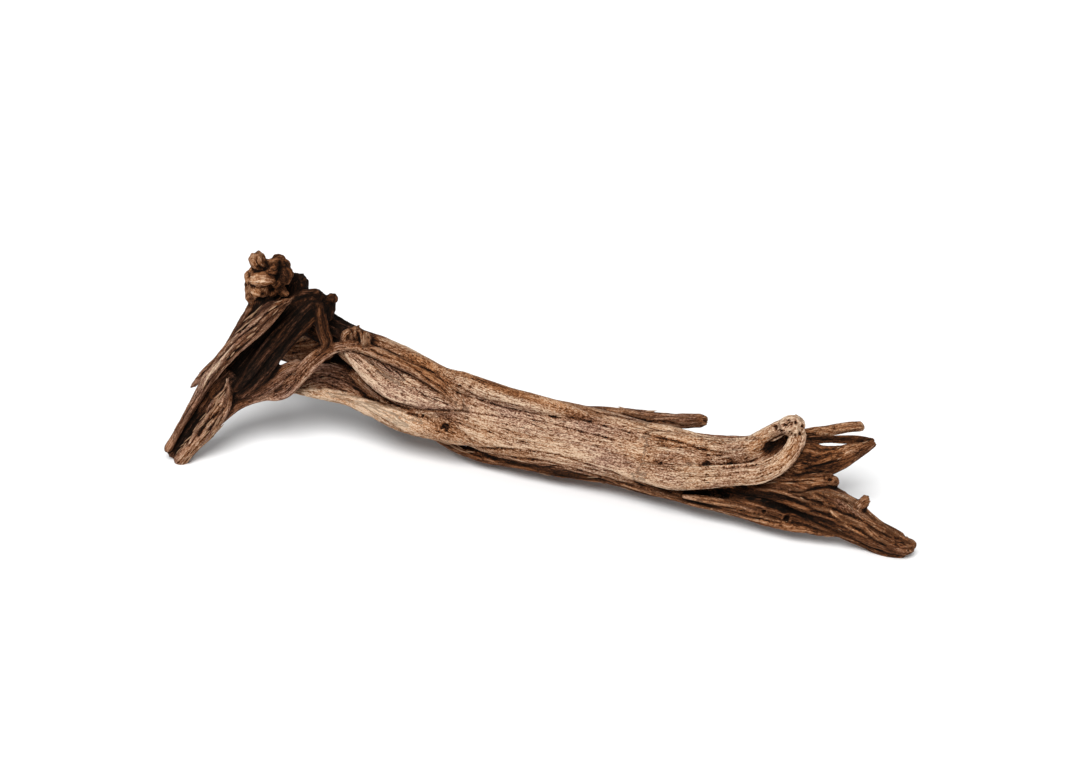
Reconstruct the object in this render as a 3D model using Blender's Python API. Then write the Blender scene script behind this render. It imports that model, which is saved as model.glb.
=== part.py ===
"""A weathered piece of driftwood that stands on three worn feet.

It grew as one piece, so it is one solid: a leaning trunk, a hollow head with a knob at one end, and a root that
splits into prongs at the other. Every limb, strip and lump is a tapering sweep, and all of them are fused.

The sweeps are drawn on a board that leans back LEAN degrees, the way the piece is looked at. A row of a sweep is
(across, up, back, width, depth): across and up are read on the board, back is the distance along the floor away
from the viewer, width lies in the board and depth goes into it. Lengths are millimetres until the mesh is made.
"""

import math

import bmesh
import bpy
import numpy as np

MM = 0.001
LEAN = math.radians(30)
EYE = 1800.0  # from the eye to the board's zero
REST = (-6.7, 15.5, 5.6)  # from the middle of the footprint to the board's zero
STEP = 4.0  # between the sections of a sweep
SIDES = 20  # of a section
END_RINGS = np.array([0, 0.12, 0.4, 1.0])  # where the sections of a round end lie, in shares of its radius
END_FLAT = 0.97  # an end's last section is no point, so that a face can close it
VOXEL = 1.3  # the fused skin is rebuilt on this grid
KEPT = 0.062  # share of the skin's faces that stay
SLAB = 0.8  # side of the block that cuts the feet flat, in metres
WOOD = (0.30, 0.17, 0.09, 1.0)
ROUGHNESS = 0.85

TRUNK = {
    "core": [
        (-122, 98, 80, 18, 24),
        (-105, 89, 72, 25, 32),
        (-85, 78, 61, 30, 36),
        (-60, 62, 50, 35, 38),
        (-30, 49, 36, 41, 40),
        (0, 40.5, 23, 43, 41),
        (30, 34.5, 9, 42, 38),
        (60, 28, -4, 38, 34),
        (90, 20, -15, 32, 28),
        (120, 13, -28, 26, 24),
        (150, 6, -42, 25, 22),
        (168, -1, -52, 24, 20),
        (185, -10.5, -62, 20, 17),
        (200, -19.5, -69, 16, 14),
        (214, -26.5, -74, 13, 12),
        (224, -29.8, -76, 10, 9),
    ],
    "hollow_back": [
        (-140, 72, 74, 12, 8),
        (-127, 78, 82, 22, 12),
        (-112, 78, 81, 30, 18),
        (-96, 72, 74, 30, 24),
    ],
    "top_strip": [
        (-103, 96, 66, 10, 12),
        (-85, 89, 55, 11, 12),
        (-65, 79, 43, 12, 12),
        (-45, 71, 34, 12, 12),
        (-20, 61.5, 22, 11, 12),
        (10, 54, 11, 9, 10),
        (30, 49.5, 6, 5, 6),
    ],
    "front_sheet": [
        (-66, 46.5, 38, 10, 8),
        (-40, 38.5, 26, 14, 9),
        (-15, 36.5, 15, 14, 9),
        (10, 32, 3, 13, 9),
        (35, 25.5, -9, 14, 9),
        (62, 17, -22, 13, 8),
    ],
    "keel": [
        (-62, 38, 39, 5, 8),
        (-40, 29.5, 30, 5.5, 9),
        (-20, 25.5, 21, 8.5, 10),
        (0, 22, 12, 10, 11),
        (20, 17.5, 3, 9, 11),
        (40, 13, -6, 7.5, 10),
        (60, 7, -15, 7, 9),
        (80, 1.2, -25, 6.5, 9),
        (100, -4, -35, 6, 9),
        (120, -8.5, -44, 6, 9),
        (140, -13, -53, 6.5, 9),
        (160, -16.5, -61, 6, 8),
        (179, -19.5, -67, 4, 5),
    ],
    "lower_lip": [
        (-148, 66.6, 61, 3, 3),
        (-135, 64.3, 60, 5.5, 4),
        (-120, 62.3, 58, 6, 6),
        (-110, 59.5, 55, 6.5, 8),
        (-100, 55.5, 50, 8.5, 10),
        (-90, 52, 45, 11, 13),
        (-80, 48.5, 40, 12.5, 15),
        (-68, 46, 36, 14, 16),
        (-50, 42, 30, 14, 16),
        (-30, 39, 24, 11, 14),
        (-14, 36, 20, 6, 8),
    ],
    "apron": [
        (-146, 70, 64, 8, 4),
        (-137, 73, 69, 14, 5),
        (-126, 73, 72, 19, 6),
        (-115, 69, 70, 18, 8),
        (-103, 62, 62, 13, 8),
        (-92, 57, 54, 9, 8),
    ],
    "inner_sheet": [
        (-117, 90.5, 62, 5, 7),
        (-109, 84, 57, 11, 8),
        (-99, 76.5, 51, 17, 8),
        (-88, 70.5, 45, 21, 9),
        (-75, 66, 39, 19.5, 9),
        (-62, 61, 33, 13.5, 8),
        (-53, 57.5, 29, 7.5, 7),
        (-46, 54.5, 26, 3, 5),
    ],
    "sash": [
        (-195, 46, 44, 7, 6),
        (-187, 52.7, 48, 9, 6),
        (-178, 58, 51, 8, 6),
        (-166, 62, 53, 7.5, 5),
        (-155, 65.8, 54, 9.5, 4.5),
        (-147, 72, 54, 10.5, 4),
        (-140, 79.5, 54, 10, 4),
        (-133, 86, 55, 9, 4),
        (-124, 91, 57, 6.5, 5),
        (-113, 93, 58, 6, 6),
        (-103, 90.5, 54, 6.5, 8),
        (-93, 86.3, 48, 6.5, 9),
        (-83, 82, 42, 6.5, 10),
        (-74, 77.5, 37, 6.5, 10),
        (-65, 72, 32, 6.5, 10),
        (-57, 66, 29, 6, 9),
        (-49, 59, 26, 5, 8),
        (-42, 54, 25, 3, 6),
    ],
    "stub": [
        (10, 50, 28, 10, 14),
        (40, 49.5, 22, 13, 14),
        (60, 48.5, 17, 12, 12),
        (76, 47.6, 13.5, 10, 11),
        (88, 48, 12, 8.5, 10),
        (102, 48.3, 11, 7.8, 10),
    ],
    "back_leg": [
        (-95, 78, 72, 22, 26),
        (-88, 68, 82, 19, 22),
        (-80, 58.5, 90, 14, 16),
        (-74, 51, 94, 11, 12),
        (-72, 48, 95, 8, 9),
    ],
    "back_ridge": [
        (-95, 86, 84, 8, 10),
        (-70, 74, 79, 12, 14),
        (-40, 60, 68, 14, 16),
        (-5, 47, 50, 15, 18),
        (30, 37, 31, 14, 16),
        (65, 30, 13, 13, 14),
        (100, 24, -4, 12, 13),
        (130, 19, -18, 10, 11),
        (150, 16, -28, 7, 8),
    ],
    "under_ridge": [
        (-80, 64, 65, 8, 10),
        (-50, 46, 51, 11, 13),
        (-15, 33, 35.5, 13, 14),
        (20, 25, 19.5, 12, 14),
        (60, 18, 1, 11, 12),
        (100, 10, -15, 10, 10),
        (140, 1.5, -33, 8, 8),
    ],
}

HEAD = {
    "web": [
        (-136, 113, 73, 12, 14),
        (-124, 105.5, 78, 13, 20),
        (-112, 98.5, 76, 14, 22),
        (-100, 91, 72, 16, 24),
    ],
    "web_low": [
        (-142, 106, 76, 12, 12),
        (-132, 102, 77, 14, 14),
        (-122, 97, 78, 16, 16),
        (-110, 92, 74, 20, 20),
    ],
    "collar_a": [(-118.5, 95, 60, 3, 5), (-117, 99.5, 60, 5, 8), (-112.5, 102.5, 60, 4.5, 8)],
    "collar_b": [(-113, 96, 58, 6, 8), (-111, 100.5, 60, 8, 9), (-107, 102, 61, 6, 9)],
    "collar_c": [(-104.5, 92, 55, 4, 8), (-105, 97, 57, 7, 10), (-106, 101.5, 60, 6.5, 10)],
    "outer_strip": [
        (-170, 121, 64, 6, 10),
        (-175, 112.5, 63, 6, 9),
        (-180, 102.5, 62, 6, 8),
        (-185, 94, 60, 5.5, 6),
        (-191.5, 85.5, 58, 5, 5),
        (-199.5, 77.5, 56, 5, 4),
        (-209.3, 67.6, 54, 3, 3),
    ],
    "left_wall": [
        (-156, 119, 58, 8, 12),
        (-166, 112, 57, 9, 13),
        (-176, 102.5, 56, 8, 13),
        (-185, 91.5, 55, 7, 11),
        (-193.5, 81, 53, 6, 9),
        (-201, 72, 51, 5, 8),
    ],
    "left_rim": [
        (-152.5, 119, 52, 6.5, 6),
        (-163, 111, 50, 10, 7),
        (-173, 103, 50, 10.5, 7),
        (-182.5, 93.5, 50, 9, 7),
        (-191, 84, 49, 8, 7),
        (-198.5, 74, 48, 7.5, 7),
        (-205, 64, 46, 6.5, 7),
        (-211, 53, 43, 5.5, 7),
        (-217, 43, 41, 5.5, 7),
        (-225.2, 29.5, 38.5, 6, 6),
    ],
    "hollow_floor": [
        (-143, 119, 64, 12, 8),
        (-156, 106, 63, 18, 7),
        (-169, 92, 61, 20, 7),
        (-181, 78, 58, 19, 7),
        (-193, 66.5, 55, 16, 7),
        (-203, 54, 51, 13, 7),
        (-212, 42, 46.5, 11, 7),
        (-222, 26, 42, 10, 7),
    ],
    "rib_a": [
        (-136, 119.5, 60, 7, 9),
        (-146, 110, 58, 7, 9),
        (-157, 98.5, 56, 7, 8),
        (-167, 86.5, 54, 7, 8),
        (-176, 75, 52, 6.5, 7),
        (-183.5, 66, 50, 4, 6),
    ],
    "rib_b": [
        (-134, 114, 62, 6.5, 9),
        (-142, 106, 61, 6.5, 8),
        (-151, 96.5, 59, 7.5, 8),
        (-158, 87.5, 57, 9, 8),
        (-166, 77.5, 55, 11, 8),
        (-174, 69, 53, 10, 8),
        (-182, 62, 51, 6, 7),
    ],
    "rib_join": [
        (-140, 113, 64, 12, 7),
        (-152, 101, 62, 13, 7),
        (-163, 88, 60, 14, 7),
        (-174, 75, 57, 15, 7),
        (-185, 63, 54, 12, 7),
    ],
    "tongue": [
        (-143, 82.5, 58, 5, 6),
        (-151, 78.8, 57, 8.5, 6),
        (-158.5, 73.5, 56, 11, 6),
        (-168, 67, 54, 10, 7),
        (-181, 61, 52, 5, 6),
    ],
    "toe_strip": [
        (-186.5, 73, 50, 5, 6),
        (-187.5, 66, 48, 9, 8),
        (-190, 59.5, 46, 15, 9),
        (-195.5, 51, 43, 15.5, 9),
        (-201.5, 42.5, 41, 14, 9),
        (-207, 34.5, 38.5, 13, 9),
        (-212, 28, 37, 12, 8),
        (-218, 20.5, 36, 9, 7),
    ],
    "strut": [
        (-134.5, 120, 60, 7, 8),
        (-132, 111, 60, 7.5, 7),
        (-130, 101, 60, 7, 7),
        (-128, 94, 59, 7, 6),
        (-131, 88, 57, 4, 5),
    ],
    "hind_prong": [
        (-120, 97, 84, 22, 20),
        (-134, 93, 92, 24, 20),
        (-147, 90.8, 99, 20.5, 18),
        (-158, 91.5, 104, 14.5, 13),
        (-168, 93.5, 108, 8, 8),
    ],
    "knob_base": [
        (-173, 110, 64, 8, 12),
        (-169, 121, 66, 14, 16),
        (-166, 130, 67, 23, 20),
        (-162.5, 137, 67, 22, 19),
        (-161, 144, 67, 16, 14),
    ],
    "knob_left": [(-166, 138, 66, 10, 10), (-170, 144, 66, 9.5, 9), (-171.8, 149.5, 66, 8.5, 8)],
    "knob_right": [(-160, 136, 66, 12, 12), (-157, 141.5, 66, 12.5, 12), (-155, 146.7, 66, 10, 9)],
    "knob_side": [(-158, 138, 62, 8, 9), (-153, 136.5, 63, 10, 10), (-151, 130.5, 64, 8, 9)],
    "knob_cheek": [(-175, 134, 62, 6, 8), (-171, 130.5, 60, 10, 9), (-162, 131.5, 59, 8, 8)],
    "knob_foot": [(-172, 127, 62, 6, 7), (-169, 124.5, 60, 8, 8), (-165, 123, 61, 6, 7)],
    "knob_web": [(-163, 124, 71, 14, 12), (-154, 124, 73, 16, 12), (-145, 124, 74, 13, 12)],
    "horn": [
        (-152, 112, 69, 16, 14),
        (-148, 120, 72, 16, 14),
        (-146, 128, 74, 14, 13),
        (-144, 136, 75, 11.5, 12),
    ],
    "crown": [
        (-152, 117, 64, 8, 9),
        (-143, 121, 66, 10.5, 10),
        (-136, 122, 66, 9.5, 10),
        (-129, 122, 66, 8, 9),
    ],
    "right_knot": [(-130, 108, 68, 11, 12), (-128.5, 116, 67, 12, 12), (-128, 122.5, 66, 11, 10)],
    "right_knot_tip": [(-128, 122.5, 66, 7, 8), (-125, 122, 65, 7, 8), (-124, 117, 65, 5.5, 7)],
}

ROOT = {
    "front_lobe": [
        (40, 20, -10, 10, 10),
        (60, 17, -22, 12, 8),
        (80, 13, -33, 14, 7),
        (100, 13.5, -42, 13.5, 6),
        (118, 15, -48, 12.5, 5.5),
        (132, 16.5, -50, 13, 5.5),
        (143, 22.5, -48, 12, 5.5),
        (151, 31, -43, 10.5, 6),
        (155, 38, -38, 9.5, 7),
        (155.5, 43.5, -35, 7.5, 7),
    ],
    "valley": [
        (50, 29, -14, 18, 8),
        (80, 24.5, -25, 18, 8),
        (105, 22, -32, 16, 7),
        (125, 24, -37, 14, 6),
        (138, 30, -37, 12, 6),
        (147, 38, -35, 9, 6),
    ],
    "back_lobe": [
        (40, 41, 4, 13, 10),
        (65, 40, -4, 13, 9),
        (85, 36, -12, 13, 8),
        (100, 32, -19, 13, 7),
        (115, 31, -25, 11.5, 6),
        (127, 33, -28, 12, 6),
        (137, 39, -29, 12, 6),
        (146, 44.5, -31, 9.5, 7),
        (154, 46, -34, 8, 7),
    ],
    "back_edge": [
        (85, 38, -2, 6, 8),
        (103, 36.3, -9, 5.5, 6),
        (118, 36.5, -15, 5, 5),
        (131, 38, -20, 4, 5),
    ],
    "broken_end": [(145, 41, -33, 8, 8), (152, 44.8, -35, 12, 9), (159, 44, -36, 10, 8)],
    "mid_strand": [
        (85, 2.5, -33, 2.5, 5),
        (100, 0.3, -38, 5, 7),
        (115, -2.5, -43, 5.5, 8),
        (130, -5.8, -48, 6, 8),
        (141, -8.5, -52, 6, 8),
        (147.5, -10.8, -54, 5, 6),
    ],
    "strand_a": [
        (112, 1, -40, 4, 7),
        (130, -3.5, -48, 5, 8),
        (150, -9, -56, 5.5, 8),
        (170, -15, -63, 6, 8),
        (190, -23.5, -68, 5.5, 8),
        (209, -31.5, -73.5, 5.5, 7),
        (219, -33, -75, 4.5, 6),
    ],
    "strand_b": [
        (120, 3.5, -43, 5, 8),
        (150, -2.5, -54, 6, 9),
        (170, -8.5, -61, 6.5, 9),
        (190, -17, -67, 7, 9),
        (212, -26, -74, 6, 8),
        (223, -30, -76.5, 6, 6),
    ],
    "strand_c": [
        (135, 6, -46, 5, 8),
        (155, 2, -52, 6, 9),
        (172, -3, -58, 7, 9),
        (190, -10, -64, 7, 9),
        (206, -17.5, -69, 7, 8),
        (219, -23.5, -73.5, 6, 7),
    ],
    "strand_d": [
        (135, 8, -44, 5, 8),
        (155, 5, -50, 5.5, 9),
        (172, 4, -54, 7, 9),
        (181.5, 1, -57, 7, 9),
        (194, -5.5, -62, 6.5, 8),
    ],
    "stump": [
        (140, 11, -42, 8, 10),
        (155, 10, -46, 8.5, 10),
        (168, 11, -49, 9.5, 10),
        (179.5, 11, -50, 9, 9),
    ],
    "wedge_prong": [
        (148, 23, -39, 24, 12),
        (158, 24.5, -38, 23, 10),
        (168, 23, -38, 18.5, 8),
        (178, 25, -35, 14, 7),
        (188.5, 29.6, -30, 10, 6),
        (196.5, 32.2, -26, 5.5, 5),
        (201, 34.7, -23.5, 4, 4),
    ],
    "wedge_wall": [
        (150, 35, -32, 9, 6),
        (162, 36.3, -28, 6, 4.5),
        (172, 36.6, -25, 4.6, 4),
        (182, 36.6, -22, 5.4, 4),
        (192, 36.2, -21.5, 5, 4),
        (200.8, 35.4, -22, 3.2, 3.5),
    ],
    "upper_prong": [
        (146, 35, -28, 7, 8),
        (160, 39.8, -22, 6, 7),
        (172, 41.8, -17, 5.8, 6),
        (184, 43.8, -13, 6, 6),
        (196, 44.3, -10, 5.6, 5.5),
    ],
    "nub": [(188, -7, -63, 9, 8), (193.3, -2.3, -62, 7, 7.5), (197.6, 1.2, -61.5, 8, 7.5)],
    "toe_tip": [(213, -24.5, -73, 9, 9), (221, -25.8, -75, 6.5, 7), (226, -26.8, -76.5, 4, 4)],
}


def seen(across, up, back):
    """The points that lie back along the floor and are seen at (across, up) on the board."""
    rise, run = math.sin(LEAN), math.cos(LEAN)
    height = (up * EYE + run * up * back - rise * back * EYE) / (run * EYE + rise * up)
    away = run * back - rise * height
    return np.column_stack([across * (1 + away / EYE), back, height])


def smooth_rows(rows):
    """The rows as a smooth curve through them: how far along each section lies, and its place and size."""
    rows = np.array(rows, float)
    rows = np.column_stack([seen(*rows[:, :3].T), rows[:, 3:]])
    at = np.concatenate([[0], np.cumsum(np.linalg.norm(np.diff(rows[:, :3], axis=0), axis=1))])
    slope = np.gradient(rows, at, axis=0)
    first_end = END_RINGS * rows[0, 3:5].min() / 2
    last_end = at[-1] - END_RINGS[::-1] * rows[-1, 3:5].min() / 2
    between = np.linspace(first_end[-1], last_end[0], max(2, round(at[-1] / STEP)))[1:-1]
    along = np.concatenate([first_end, between, last_end])
    i = np.clip(np.searchsorted(at, along, side="right") - 1, 0, len(at) - 2)
    gap = (at[i + 1] - at[i])[:, None]
    t = (along - at[i])[:, None] / gap
    return along, (
        (2 * t**3 - 3 * t**2 + 1) * rows[i]
        + (t**3 - 2 * t**2 + t) * gap * slope[i]
        + (3 * t**2 - 2 * t**3) * rows[i + 1]
        + (t**3 - t**2) * gap * slope[i + 1]
    )


def unit(vectors):
    """The vectors at length 1."""
    return vectors / np.linalg.norm(vectors, axis=-1, keepdims=True)


def sweep(rows):
    """Points and faces of a closed sweep with an oval section and round ends."""
    along, curve = smooth_rows(rows)
    path, width, depth = curve[:, :3], curve[:, 3], curve[:, 4]
    ahead = unit(np.gradient(path, along, axis=0))
    to_viewer = np.array([0, -math.cos(LEAN), math.sin(LEAN)])
    out = unit(to_viewer - (ahead @ to_viewer)[:, None] * ahead)
    side = np.cross(ahead, out)
    from_start = 1 - 2 * along / min(width[0], depth[0])
    from_finish = 1 - 2 * (along[-1] - along) / min(width[-1], depth[-1])
    shrink = np.sqrt(1 - np.clip(np.maximum(from_start, from_finish), 0, END_FLAT) ** 2)
    angle = np.arange(SIDES) * 2 * math.pi / SIDES
    across = (width * shrink / 2)[:, None, None] * side[:, None, :] * np.cos(angle)[None, :, None]
    through = (depth * shrink / 2)[:, None, None] * out[:, None, :] * np.sin(angle)[None, :, None]
    points = (path[:, None, :] + across + through).reshape(-1, 3)
    rings = len(path)
    ring, corner = np.divmod(np.arange((rings - 1) * SIDES), SIDES)
    here = ring * SIDES
    after = (corner + 1) % SIDES
    quads = np.column_stack([here + corner, here + after, here + SIDES + after, here + SIDES + corner])
    ends = [list(range(SIDES))[::-1], list(range((rings - 1) * SIDES, rings * SIDES))]
    return points, quads.tolist() + ends


def fused_mesh(name, sweeps):
    """One mesh that holds every sweep, in metres. The sweeps overlap, and the remesh fuses them."""
    points, faces, start = [], [], 0
    for rows in sweeps:
        new_points, new_faces = sweep(rows)
        points.append(new_points)
        faces += [[start + corner for corner in face] for face in new_faces]
        start += len(new_points)
    mesh = bpy.data.meshes.new(name)
    mesh.from_pydata(((np.vstack(points) - REST) * MM).tolist(), [], faces)
    mesh.update()
    return mesh


def outer_skin(mesh):
    """The mesh without its smaller loose bodies, which are the walls of pockets that the sweeps shut in."""
    edges = np.empty(len(mesh.edges) * 2, np.int32)
    mesh.edges.foreach_get("vertices", edges)
    ends = edges.reshape(-1, 2)
    body = np.arange(len(mesh.vertices))
    while True:
        lower = body.copy()
        np.minimum.at(lower, ends[:, 0], body[ends[:, 1]])
        np.minimum.at(lower, ends[:, 1], body[ends[:, 0]])
        lower = lower[lower]
        if (lower == body).all():
            break
        body = lower
    largest = np.argmax(np.bincount(body))
    skin = bmesh.new()
    skin.from_mesh(mesh)
    bmesh.ops.delete(skin, geom=[v for v in skin.verts if body[v.index] != largest], context="VERTS")
    skin.to_mesh(mesh)
    skin.free()


def wood():
    """Dry wood, with the photograph's middle brown."""
    material = bpy.data.materials.new("wood")
    material.use_nodes = True
    shader = material.node_tree.nodes["Principled BSDF"]
    shader.inputs["Base Color"].default_value = WOOD
    shader.inputs["Roughness"].default_value = ROUGHNESS
    shader.inputs["Metallic"].default_value = 0.0
    return material


def floor_cutter():
    """A slab whose top is the floor. It takes the lowest of each foot off flat, as wear does."""
    bpy.ops.mesh.primitive_cube_add(size=SLAB, location=(0, 0, -SLAB / 2))
    slab = bpy.context.active_object
    slab.name = "floor_cutter"
    slab.hide_render = True
    slab.display_type = "WIRE"
    return slab


def main():
    """Empties the scene, then builds the driftwood: fuse, thin out the facets, cut the feet flat."""
    for old in list(bpy.data.objects):
        bpy.data.objects.remove(old)
    sweeps = [rows for group in (TRUNK, HEAD, ROOT) for rows in group.values()]
    mesh = fused_mesh("driftwood", sweeps)
    driftwood = bpy.data.objects.new("driftwood", mesh)
    bpy.context.scene.collection.objects.link(driftwood)
    mesh.materials.append(wood())
    fuse = driftwood.modifiers.new("fuse", "REMESH")
    fuse.mode = "VOXEL"
    fuse.voxel_size = VOXEL * MM
    graph = bpy.context.evaluated_depsgraph_get()
    driftwood.data = bpy.data.meshes.new_from_object(driftwood.evaluated_get(graph))
    driftwood.modifiers.remove(fuse)
    outer_skin(driftwood.data)
    fewer = driftwood.modifiers.new("facets", "DECIMATE")
    fewer.ratio = KEPT
    flat = driftwood.modifiers.new("worn_feet", "BOOLEAN")
    flat.operation = "DIFFERENCE"
    flat.solver = "EXACT"
    flat.object = floor_cutter()


main()
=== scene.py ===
"""The looks of a weathered piece of driftwood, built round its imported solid.

The wood grew as one piece, so it is one surface. Every limb, strip and lump is a tapering sweep, as in
its solid, thin strands lie along most of them, and all are fused on a fine grid. Each point of that
surface then finds the limbs whose walls it lies on, reads how far along and across them it is, and is
moved along its normal by the relief of the grain there. Named folds, cracks, knots and holes are laid
over that. The same readings give each point its tone, which the material turns into colour. The surface
is then cut across into four pieces that meet without a gap, and loose splinters are a piece of their own.

The sweeps are drawn on a board that leans back LEAN degrees, the way the piece is looked at. A row of a
sweep is (across, up, back, width, depth): across and up are read on the board, back is the distance along
the floor away from the viewer, width lies in the board and depth goes into it. Lengths in the tables are
millimetres.
"""

import math

import bmesh
import bpy
import numpy as np
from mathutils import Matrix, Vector


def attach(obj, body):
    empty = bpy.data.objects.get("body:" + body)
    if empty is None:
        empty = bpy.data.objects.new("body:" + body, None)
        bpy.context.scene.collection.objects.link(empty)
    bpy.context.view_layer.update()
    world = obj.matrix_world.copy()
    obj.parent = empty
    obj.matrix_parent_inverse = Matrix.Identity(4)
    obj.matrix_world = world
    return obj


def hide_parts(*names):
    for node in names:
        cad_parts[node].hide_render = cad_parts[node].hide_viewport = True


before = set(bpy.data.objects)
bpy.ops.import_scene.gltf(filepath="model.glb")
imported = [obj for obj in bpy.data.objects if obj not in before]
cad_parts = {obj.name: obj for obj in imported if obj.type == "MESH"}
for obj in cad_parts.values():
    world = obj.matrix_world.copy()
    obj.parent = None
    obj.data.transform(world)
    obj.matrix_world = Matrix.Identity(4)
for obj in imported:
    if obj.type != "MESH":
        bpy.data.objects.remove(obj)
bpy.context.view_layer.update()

bl_info = {
    "name": "Driftwood",
    "version": (1, 0, 0),
    "blender": (4, 5, 0),
    "location": "3D View > Sidebar > Driftwood",
    "description": "Builds a weathered piece of driftwood and the pale stage it stands on",
    "category": "Object",
}

MM = 0.001  # metres
LEAN = math.radians(30)  # the board leans back from upright by this angle
EYE = 1800.0  # from the eye to the board's zero
REST = np.array([-6.7, 15.5, 5.6])  # from the middle of the footprint to the board's zero
TO_VIEWER = np.array([0, -math.cos(LEAN), math.sin(LEAN)])
STEP = 2.0  # between the sections of a sweep
SIDES = 40  # of a section
THIN_SIDES = 14  # of a strand's section
STRAND_SWAY = 0.35  # how far a strand sways round its limb, as an angle
STRAND_WAVE = 12.0  # length of that sway
STRAND_PROUD = 0.42  # share of a strand's thickness that stands out of its limb
SPLINTER_SIDES = 6
OFF_FLOOR = 1.0  # the least height of a splinter above the floor
FLOOR_FADE = 2.5  # below this height the relief fades out towards the floor, so that the feet stay flat
FILL_PASSES = 45  # of filling creases
MELT_PASSES = 22  # of smoothing where limbs melt into each other
SHARE_PASSES = 8  # of smoothing the share by which they melt
NORMAL_PASSES = 3  # of smoothing the normals along which the relief is raised
FINE_PASSES = 12  # of smoothing, against which small hollows and ridges are told
WIDE_PASSES = 50  # the same for wide hollows
STRAND_SEED = 500  # of the first limb's strands, and the next limb's is one more
SPLINTER_SEED = 700  # of the first limb's splinters, and the next limb's is one more
GRAIN_SEED = 40  # of the first limb's grain
GRAIN_SEEDS = 20  # from one limb's grain to the next limb's
SHARE_SEED = 77  # of the fibres by which the first limb's grain gives way to another's
HOLE_SEED = 31  # of the holes' uneven outline
FOLD_SEED = 900  # of the first fold's wander
FOLD_FADE_SEED = 950  # of the first fold's coming and going
CUTS = (-118.0, -30.0, 70.0)  # across, where one piece of the surface ends and the next begins
PIECES = ("driftwood_head", "driftwood_trunk", "driftwood_flap", "driftwood_root")
SEAM_DEPTH = 0.9  # how far a piece's rim turns into the wood
END_RINGS = np.array([0, 0.12, 0.4, 1.0])  # where the sections of a round end lie, in shares of its radius
END_FLAT = 0.97  # an end's last section is no point, so that a face can close it
SQUARE = 2.3  # power of the section's curve: 2 is an oval, more is squarer
NEAR = 6.0  # a limb counts for the points within this distance of its wall
SOFT = 1.6  # limbs blend over this distance where they meet
CHUNK = 20000  # points that are compared with a path at a time
CORNERS = np.array(list(np.ndindex(2, 2, 2)))  # of a unit cell

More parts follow.
